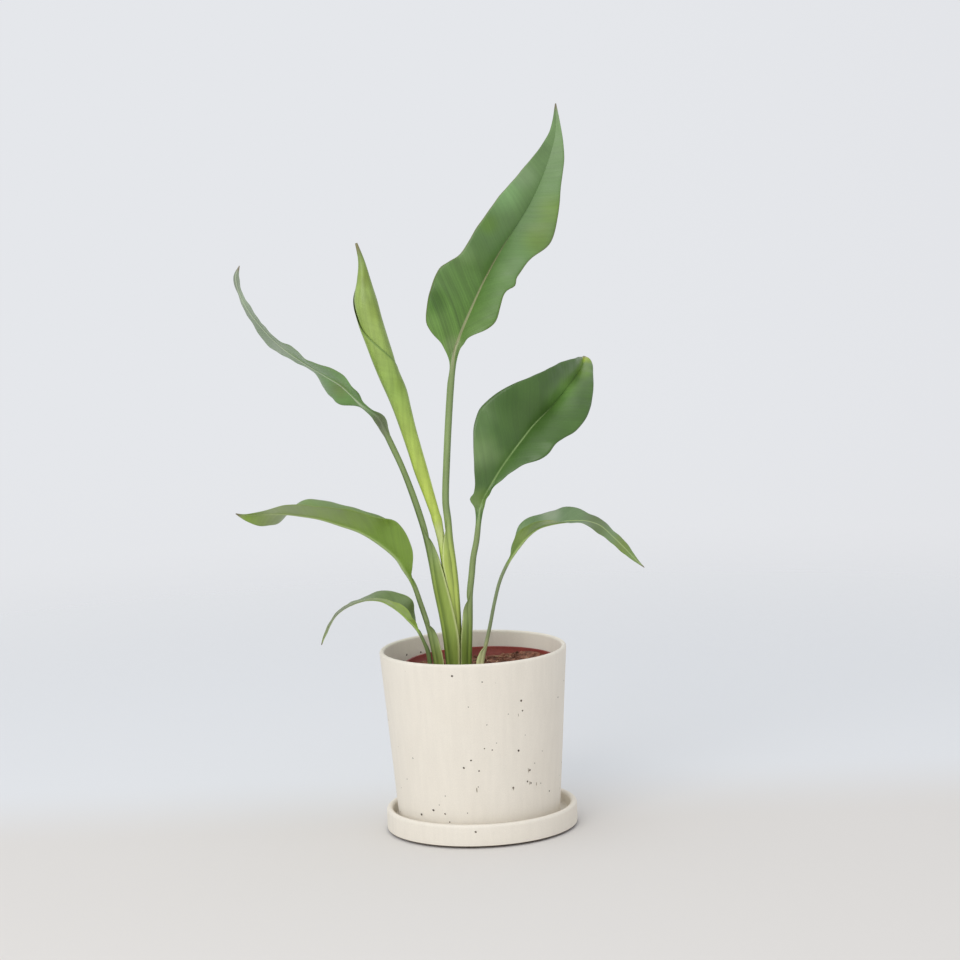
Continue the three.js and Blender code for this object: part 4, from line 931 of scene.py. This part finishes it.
# How each leaf looks. Its colours run from the foot of the blade at 0 to the tip at 1. Its patches are
# soft and round, partly painted light, shade and sheen and partly the leaf's own tone: x, z and reach
# in millimetres, and what they multiply the colour by.
LEAF_LOOKS = {
    "leaf_tall": dict(
        upper=[(0.0, (97, 130, 58)), (0.18, (86, 123, 48)), (0.40, (89, 122, 65)),
               (0.70, (103, 135, 80)), (1.0, (110, 138, 88))],
        under=[(0.0, (112, 150, 84)), (1.0, (116, 146, 100))],
        rib=(160, 162, 122), margin=(112, 120, 76),
        petiole=(130, 150, 94), sheath=(176, 194, 92), sheath_top=250,
        rib_ends=0.45, rib_width=0.4, groove_shade=0.35, pleat_shading=0.28,
        shade_and_tint_patches=[
            (38, 509, 22, (1.4, 1.4, 1.6)), (56, 521, 15, (1.3, 1.15, 1.5)),
            (-20, 427, 16, (0.55, 0.7, 0.2)), (-5, 391, 11, (1.4, 1.15, 1.9)),
            (6, 462, 14, (1.4, 1.25, 1.6)), (78, 492, 20, (1.1, 1.05, 0.55)),
            (26, 485, 12, (1.0, 1.05, 0.6)), (66, 472, 19, (1.25, 1.12, 0.75)),
            (33, 448, 12, (1.15, 1.1, 1.2)),
        ],
    ),
    "leaf_broad_right": dict(
        upper=[(0.0, (93, 124, 68)), (0.30, (69, 102, 41)), (0.65, (67, 99, 38)),
               (0.90, (83, 114, 49)), (0.97, (140, 166, 54)), (1.0, (160, 170, 58))],
        under=[(0.0, (104, 138, 84)), (1.0, (104, 136, 84))],
        rib=(150, 176, 116), margin=(86, 106, 66),
        petiole=(130, 148, 92), sheath=(130, 154, 62), sheath_top=182, roughness=0.36,
        rib_ends=0.52, rib_width=0.4, rib_strength=0.75,
        shade_and_tint_patches=[
            (11, 306, 22, (2.1, 1.6, 2.8)), (15, 333, 18, (1.6, 1.35, 2.2)),
            (10, 266, 14, (2.1, 1.7, 1.9)), (29, 299, 11, (1.3, 1.2, 1.4)),
            (79, 344, 17, (1.9, 1.75, 2.2)), (87, 353, 14, (1.7, 1.55, 1.8)),
            (34, 347, 20, (0.75, 0.85, 0.55)), (100, 360, 9, (1.8, 1.7, 0.8)),
        ],
    ),
    "leaf_right": dict(
        upper=[(0.0, (100, 134, 70)), (0.45, (104, 128, 88)), (0.70, (108, 134, 84)),
               (0.88, (120, 150, 74)), (1.0, (130, 140, 90))],
        under=[(0.0, (124, 154, 70)), (0.4, (118, 150, 74)), (1.0, (120, 148, 86))],
        rib=(172, 192, 122), margin=(120, 140, 84),
        petiole=(122, 138, 96), sheath=(214, 218, 160), sheath_top=156, foot=0.0, shaded_side=0,
        shade_and_tint_patches=[
            (44, 237, 11, (1.3, 1.2, 1.4)), (66, 253, 12, (1.9, 1.5, 2.2)),
            (103, 245, 15, (0.7, 0.7, 0.4)), (122, 227, 12, (1.0, 0.9, 0.6)),
        ],
    ),
    "leaf_long_left": dict(
        upper=[(0.0, (99, 127, 52)), (0.5, (111, 139, 70)), (1.0, (120, 145, 84))],
        # Its under colours are painted lighter, as painted light on the shaded near half, so both
        # halves show as one tone
        under=[(0.0, (117, 145, 54)), (0.30, (114, 145, 53)), (0.58, (126, 152, 69)),
               (0.78, (143, 160, 105)), (0.92, (126, 154, 59)), (1.0, (144, 158, 103))],
        rib=(190, 206, 150), margin=(132, 152, 92),
        petiole=(124, 142, 88), sheath=(140, 160, 76), sheath_top=162, shaded_side=-1, foot=0.3,
        rib_strength=0.4,
    ),
    "leaf_far_left": dict(
        upper=[(0.0, (92, 128, 72)), (1.0, (92, 124, 78))],
        under=[(0.0, (104, 112, 84)), (0.10, (98, 126, 76)), (0.25, (106, 148, 74)),
               (0.45, (118, 146, 98)), (0.75, (128, 146, 116)), (1.0, (124, 136, 112))],
        rib=(196, 206, 176), margin=(132, 144, 112),
        petiole=(124, 144, 88), sheath=(140, 162, 68), sheath_top=230, shaded_side=-1,
        rib_starts=0.1, rib_strength=0.6,
        shade_and_tint_patches=[
            (-173, 432, 12, (1.3, 1.3, 1.3)), (-144, 387, 16, (1.4, 1.25, 1.5)),
            (-98, 358, 12, (0.95, 0.75, 0.85)), (-68, 333, 9, (0.8, 0.75, 0.7)),
        ],
    ),
    "leaf_small_left": dict(
        upper=[(0.0, (106, 132, 64)), (0.5, (122, 140, 96)), (1.0, (134, 146, 116))],
        under=[(0.0, (152, 186, 84)), (0.35, (160, 188, 92)), (0.7, (156, 170, 138)),
               (1.0, (150, 166, 112))],
        rib=(178, 200, 130), margin=(176, 194, 122),
        petiole=(120, 140, 86), sheath=(124, 148, 80), sheath_top=112,
    ),
}


# Pieces

def wobble(mesh, amount, seed):
    """Makes a turned wall uneven, as by hand: moves each point in or out by a slow noise."""
    for vertex in mesh.vertices:
        x, y, z = vertex.co
        radius = math.hypot(x, y)
        if radius < 1e-6:
            continue
        push = amount * MM * noise.noise(Vector((x * 22 + seed, y * 22, z * 9)))
        vertex.co.x += push * x / radius
        vertex.co.y += push * y / radius


def add_saucer():
    inner = SAUCER_RADIUS - SAUCER_RIM
    lip = SAUCER_RIM / 2
    groove_top = FOOT_GROOVE + FOOT_ROUNDING
    rounding = SAUCER_INNER_ROUNDING
    outline = [
        (0, 0),
        *straight((0, 0), (SAUCER_FOOT_RADIUS, 0), 6),
        (SAUCER_FOOT_RADIUS, FOOT_GROOVE),
        *arc(SAUCER_RADIUS - FOOT_ROUNDING, groove_top, FOOT_ROUNDING, -90, 0, 6),
        *arc(SAUCER_RADIUS - lip, SAUCER_HEIGHT - lip, lip, 0, 180, 16),
        *arc(inner - rounding, SAUCER_FLOOR + rounding, rounding, 0, -90, 6),
        *straight((inner - rounding, SAUCER_FLOOR), (0, SAUCER_FLOOR), 8),
    ]
    mesh = turned("saucer_glazed", outline, SAUCER_CENTRE)
    wobble(mesh, SAUCER_UNEVENNESS, 3.1)
    # Painted shadow along the saucer's foot, up to just above its groove
    look = stoneware_look("saucer_stoneware", 0.4, FOOT_GROOVE + 0.2)
    add_piece("saucer_stoneware", mesh, look, "saucer")


def add_cover_pot():
    foot, inside = SAUCER_FLOOR, SAUCER_FLOOR + POT_FLOOR
    outer, inner = POT_FOOT_ROUNDING, POT_INNER_ROUNDING
    lip = (POT_TOP_RADIUS - LIP_ROUNDING, POT_TOP - LIP_ROUNDING)
    inner_foot = POT_FOOT_RADIUS - POT_WALL
    inner_top = (POT_TOP_RADIUS - POT_WALL, POT_TOP - 2 * LIP_ROUNDING - 2)
    outline = [
        (POT_DRAIN_RADIUS, foot),
        *straight((POT_DRAIN_RADIUS, foot), (POT_FOOT_RADIUS - outer, foot), 5),
        *arc(POT_FOOT_RADIUS - outer, foot + outer, outer, -80, 0, 5),
        *straight((POT_FOOT_RADIUS, foot + outer), (POT_TOP_RADIUS, lip[1]), 40),
        *arc(*lip, LIP_ROUNDING, 10, 180, 12),
        inner_top,
        *straight(inner_top, (inner_foot, inside + inner), 30),
        *arc(inner_foot - inner, inside + inner, inner, -10, -90, 6),
        *straight((inner_foot - inner, inside), (POT_DRAIN_RADIUS, inside), 5),
    ]
    mesh = turned("pot_glazed", outline)
    wobble(mesh, POT_UNEVENNESS, 8.6)
    look = stoneware_look("pot_stoneware", 1.7)
    add_piece("pot_stoneware", mesh, look, "cover_pot")


def pot_radius(height):
    share = (height - SAUCER_FLOOR) / (POT_TOP - SAUCER_FLOOR)
    return POT_FOOT_RADIUS + (POT_TOP_RADIUS - POT_FOOT_RADIUS) * share


def inside_radius(height):
    return pot_radius(height) - POT_WALL - 0.2


def saucer_radius(height):
    return SAUCER_RADIUS


def add_specks(name, specks, radius_at, colours, middle=(0, 0), width=1.0):
    """Thin uneven flakes or pits on the surface of a round wall, narrower where width is below 1."""
    rng = random.Random(name)
    places, faces = [], []
    for turn, height, size in specks:
        first = len(places)
        places.append((0, 0, 0))
        for corner in range(SPECK_CORNERS):
            angle = 2 * math.pi * corner / SPECK_CORNERS
            reach = size / 2 * rng.uniform(0.7, 1.1)
            places.append((width * reach * math.cos(angle), reach * math.sin(angle), 0))
            faces.append((first, first + 1 + corner, first + 1 + (corner + 1) % SPECK_CORNERS))
        for i in range(first, len(places)):
            sideways, up, _ = places[i]
            lift = SPECK_MIDDLE_LIFT if i == first else SPECK_EDGE_LIFT
            radius = radius_at(height + up) + lift
            angle = math.radians(turn) + sideways / radius
            places[i] = (
                middle[0] + radius * math.sin(angle),
                middle[1] - radius * math.cos(angle),
                height + up,
            )
    look = plain_look(name, *colours, 900, 0.6, 0.00003)
    add_piece(name, mesh_from(name, places, faces), look)


def all_pot_specks():
    """The specks seen in front, and others drawn at random over the rest of the wall."""
    rng = random.Random(OTHER_SPECK_SEED)
    specks = list(POT_SPECKS)
    for _ in range(OTHER_SPECKS):
        turn = rng.uniform(75, 285)
        height = SAUCER_FLOOR + 8 + (POT_TOP - SAUCER_FLOOR - 14) * rng.random() ** 1.5
        specks.append((turn, height, rng.choice(OTHER_SPECK_SIZES)))
    return specks


def add_all_specks():
    add_specks("pot_specks", all_pot_specks(), pot_radius, IRON)
    add_specks("pot_inside_specks", INSIDE_SPECKS, inside_radius, IRON)
    add_specks("pot_pits", POT_PITS, pot_radius, PIT, width=PIT_WIDTH)
    add_specks("saucer_specks", SAUCER_SPECKS, saucer_radius, IRON, SAUCER_CENTRE)


def nursery_radius(height):
    """The outer radius of the nursery pot's wall, without its rim."""
    foot = SAUCER_FLOOR + POT_FLOOR
    share = (height - foot) / (NURSERY_TOP - foot)
    return NURSERY_FOOT_RADIUS + (NURSERY_RIM_RADIUS - NURSERY_STEP - NURSERY_FOOT_RADIUS) * share


def drilled(name, mesh, centres, radius, low, high):
    """A mesh with round holes cut up through it."""
    piece = new_object(name, mesh)
    cutters = []
    for centre in centres:
        hole = turned("drain", [(0, low), (radius, low), (radius, high), (0, high)], centre, 24)
        cutter = new_object("drain", hole)
        modifier = piece.modifiers.new("drain", "BOOLEAN")
        modifier.object = cutter
        modifier.solver = "EXACT"
        cutters.append(cutter)
    depsgraph = bpy.context.evaluated_depsgraph_get()
    cut = bpy.data.meshes.new_from_object(piece.evaluated_get(depsgraph))
    cut.materials.clear()
    for used in (piece, *cutters):
        bpy.data.objects.remove(used)
    return cut


def add_nursery_pot():
    foot = SAUCER_FLOOR + POT_FLOOR
    floor = foot + NURSERY_FLOOR
    band = NURSERY_TOP - NURSERY_BAND
    rounding, band_rounding = NURSERY_ROUNDING, NURSERY_BAND_ROUNDING
    inner_band = (nursery_radius(band) - NURSERY_WALL, band - 0.4)
    inner_foot = (nursery_radius(floor) - NURSERY_WALL, floor)
    outline = [
        (0, foot),
        *straight((0, foot), (NURSERY_FOOT_RADIUS - rounding, foot), 5),
        (NURSERY_FOOT_RADIUS, foot + rounding),
        *straight((NURSERY_FOOT_RADIUS, foot + rounding), (nursery_radius(band), band), 10),
        *arc(NURSERY_RIM_RADIUS - band_rounding, band + 1.0, band_rounding, -60, 0, 3),
        *arc(NURSERY_RIM_RADIUS - rounding, NURSERY_TOP - rounding, rounding, 0, 180, 8),
        (NURSERY_RIM_RADIUS - 2 * rounding, band + 0.8),
        inner_band,
        *straight(inner_band, inner_foot, 10),
        *straight(inner_foot, (0, floor), 5),
    ]
    mesh = turned("nursery_pot", outline, NURSERY_CENTRE, 128)
    centres = []
    for drain in range(NURSERY_DRAINS):
        angle = 2 * math.pi * drain / NURSERY_DRAINS
        x = NURSERY_CENTRE[0] + NURSERY_DRAIN_RING * math.cos(angle)
        y = NURSERY_CENTRE[1] + NURSERY_DRAIN_RING * math.sin(angle)
        centres.append((x, y))
    name = "nursery_pot_plastic"
    mesh = drilled(name, mesh, centres, NURSERY_DRAIN_RADIUS, foot - 1, floor + 1)
    look = plain_look("red_plastic", *PLASTIC, 60, 0.42, 0.00003)
    add_piece(name, mesh, look, "nursery_pot")


def smooth_step(value, low, high):
    share = min(max((value - low) / (high - low), 0), 1)
    return share * share * (3 - 2 * share)


def bank(reach, height, starts, full):
    """How high the soil is banked up so far to one side."""
    return height * smooth_step(reach, starts, full)


def soil_height(x, y):
    """The soil surface, with lumps and crumbs, banked up against the sides of its pot."""
    banks = bank(x, *RIGHT_BANK) + bank(-x, *LEFT_BANK)
    broad, lumps, crumbs = (
        size * noise.noise(Vector((x / width, y / width, layer)))
        for width, layer, size in SOIL_LUMPS
    )
    return SOIL_TOP + banks + broad + lumps + abs(crumbs)


def soil_edge(height):
    return nursery_radius(height) - NURSERY_WALL - SOIL_GAP


def add_soil():
    bottom = SAUCER_FLOOR + POT_FLOOR + NURSERY_FLOOR + 0.3
    edge = soil_edge(SOIL_TOP)
    outline = [(0, bottom), *straight((0, bottom), (soil_edge(bottom), bottom), 4)]
    outline += straight((soil_edge(bottom), bottom), (edge, SOIL_TOP), 12)
    outline += [(edge * ring / SOIL_RINGS, SOIL_TOP) for ring in range(SOIL_RINGS - 1, -1, -1)]
    mesh = turned("soil_surface", outline, NURSERY_CENTRE, SOIL_STEPS)
    for vertex in mesh.vertices:
        if vertex.co.z > (SOIL_TOP - 0.5) * MM:
            vertex.co.z = soil_height(vertex.co.x / MM, vertex.co.y / MM) * MM
    look = plain_look("soil", *SOIL, 190, 0.95, 0.0004, 0.2)
    add_piece("soil_surface", mesh, look, "soil")
    add_crumbs(edge, look)
    add_straws(edge)


def soil_spot(rng, edge):
    """A place on the soil clear of the stalks."""
    while True:
        reach = edge * math.sqrt(rng.random())
        angle = rng.uniform(0, 2 * math.pi)
        x = NURSERY_CENTRE[0] + reach * math.cos(angle)
        y = NURSERY_CENTRE[1] + reach * math.sin(angle)
        if reach < edge - 2 and not (abs(y) < STALKS[2] and STALKS[0] < x < STALKS[1]):
            return x, y


def add_crumbs(edge, look):
    """Small clods and bark crumbs lying in the surface."""
    rng = random.Random(CRUMB_SEED)
    ball = bmesh.new()
    bmesh.ops.create_icosphere(ball, subdivisions=1, radius=1)
    corners = [vertex.co.copy() for vertex in ball.verts]
    sides = [tuple(vertex.index for vertex in face.verts) for face in ball.faces]
    ball.free()
    places, faces = [], []
    for _ in range(CRUMBS):
        x, y = soil_spot(rng, edge)
        size = rng.choice(CRUMB_SIZES)
        stretch = [size * rng.uniform(0.6, 1.3) for _ in range(3)]
        spin = Matrix.Rotation(rng.uniform(0, 6.28), 3, "Z")
        turn = spin @ Matrix.Rotation(rng.uniform(0, 1), 3, "X")
        first = len(places)
        for corner in corners:
            bent = Vector(a * b for a, b in zip(corner, stretch)) * rng.uniform(0.75, 1.15)
            spot = turn @ bent
            places.append((x + spot.x, y + spot.y, soil_height(x, y) + 0.2 * size + spot.z))
        faces += [tuple(first + i for i in side) for side in sides]
    mesh = mesh_from("soil_crumbs", places, faces)
    add_piece("soil_crumbs", mesh, look, smooth=False)


def add_straws(edge):
    """Pale bits of straw and bark fibre lying on the soil."""
    rng = random.Random(STRAW_SEED)
    places, faces = [], []
    for _ in range(STRAWS):
        x, y = soil_spot(rng, edge - 4)
        length, wide = rng.uniform(2.5, 8), rng.uniform(0.25, 0.7)
        heading, tilt = rng.uniform(0, 2 * math.pi), rng.uniform(-0.12, 0.2)
        first = len(places)
        for t in (-0.5, 0, 0.5):
            for sideways, up in ((-1, 0), (0, -0.6), (1, 0), (0, 0.6)):
                taper = 1 - 0.5 * abs(t)
                along = length * t
                across = wide * sideways * taper + STRAW_BEND * length * (t * t)
                places.append((
                    x + along * math.cos(heading) - across * math.sin(heading),
                    y + along * math.sin(heading) + across * math.cos(heading),
                    soil_height(x, y) + STRAW_LIFT + wide * up * taper + along * tilt,
                ))
        for ring in range(2):
            for i in range(4):
                a, b = first + 4 * ring + i, first + 4 * ring + (i + 1) % 4
                faces.append((a, b, b + 4, a + 4))
        faces.append((first + 3, first + 2, first + 1, first))
        faces.append((first + 8, first + 9, first + 10, first + 11))
    look = plain_look("straw", *STRAW, 400, 0.8, 0.0001, 0.3)
    add_piece("soil_straw", mesh_from("soil_straw", places, faces), look, smooth=False)


def dress_rootstock():
    look = plain_look("root_skin", *ROOT, 120, 0.75, 0.0002)
    materials = bpy.data.objects["rootstock"].data.materials
    materials.clear()
    materials.append(look)


def add_leaves():
    for name, leaf in LEAVES.items():
        mesh = leaf_mesh(name + "_fine", **leaf)
        add_piece(name + "_fine", mesh, leaf_look(name, **LEAF_LOOKS[name]), name)


def joined(name, meshes):
    """One mesh from several."""
    both = bmesh.new()
    for mesh in meshes:
        both.from_mesh(mesh)
    mesh = bpy.data.meshes.new(name)
    both.to_mesh(mesh)
    both.free()
    return mesh


def add_rolled_leaf():
    name = "leaf_rolled"
    mesh = joined(name + "_fine", [roll_mesh("roll"), leaf_mesh("roll_stalk", ROLLED_STALK)])
    add_piece(name + "_fine", mesh, roll_look(name), name)


# Stage, light and camera

def add_stage():
    """A pale round floor that fades out into the pale room, so the object is seen from all sides."""
    ring = bmesh.new()
    bmesh.ops.create_circle(ring, cap_ends=True, segments=128, radius=FLOOR_RADIUS)
    mesh = bpy.data.meshes.new("floor")
    ring.to_mesh(mesh)
    ring.free()
    look = Look("floor", 0.95, 0.05)
    place = look.place()
    back = look.fade(look.axis(place, "Y"), *FLOOR_CHANGE)
    reach = look.vector_maths("LENGTH", place, output="Value")
    shown = look.fade(reach, *FLOOR_FADE, 1.0, 0.0)
    colour = look.mix(back, srgb(*FLOOR_FRONT), srgb(*FLOOR_BACK))
    mesh.materials.append(look.done(colour, Alpha=shown))
    new_object("floor", mesh, smooth=False)


def add_lights():
    for name, (place, aim, side, power, colour) in LIGHTS.items():
        light = bpy.data.lights.new(name, "AREA")
        light.shape = "RECTANGLE"
        light.size = light.size_y = side
        light.energy = power
        light.color = colour
        lamp = bpy.data.objects.new(name, light)
        lamp.location = place
        lamp.visible_camera = False
        lamp.rotation_euler = (Vector(aim) - Vector(place)).to_track_quat("-Z", "Y").to_euler()
        bpy.context.scene.collection.objects.link(lamp)


def add_room():
    """A bright even room, a little darker to the right and below."""
    world = bpy.data.worlds.new("room")
    world.use_nodes = True
    nodes = Nodes(world.node_tree)
    direction = nodes.place("Generated")
    colour = srgb(*ROOM_COLOUR)
    for axis, low, high, tint in ROOM_TINTS:
        colour = nodes.mix(nodes.fade(nodes.axis(direction, axis), low, high), colour, srgb(*tint))
    nodes.feed(world.node_tree.nodes["Background"].inputs["Color"], colour)
    bpy.context.scene.world = world
    bpy.context.scene.view_settings.view_transform = "Standard"


def add_camera():
    back = Vector((0, -math.cos(CAMERA_PITCH), math.sin(CAMERA_PITCH)))
    level = Vector((1, 0, 0))
    upright = back.cross(level)
    right = math.cos(CAMERA_ROLL) * level + math.sin(CAMERA_ROLL) * upright
    up = math.cos(CAMERA_ROLL) * upright - math.sin(CAMERA_ROLL) * level
    data = bpy.data.cameras.new("camera")
    data.lens = CAMERA_LENS
    data.sensor_width = CAMERA_SENSOR
    camera = bpy.data.objects.new("camera", data)
    place = Matrix((right, up, back)).transposed().to_4x4()
    place.translation = CAMERA_AIM + CAMERA_DISTANCE * back
    camera.matrix_world = place
    bpy.context.scene.collection.objects.link(camera)
    bpy.context.scene.camera = camera


add_camera()
add_stage()
add_room()
add_lights()
add_saucer()
add_cover_pot()
add_all_specks()
add_nursery_pot()
add_soil()
dress_rootstock()
add_leaves()
add_rolled_leaf()
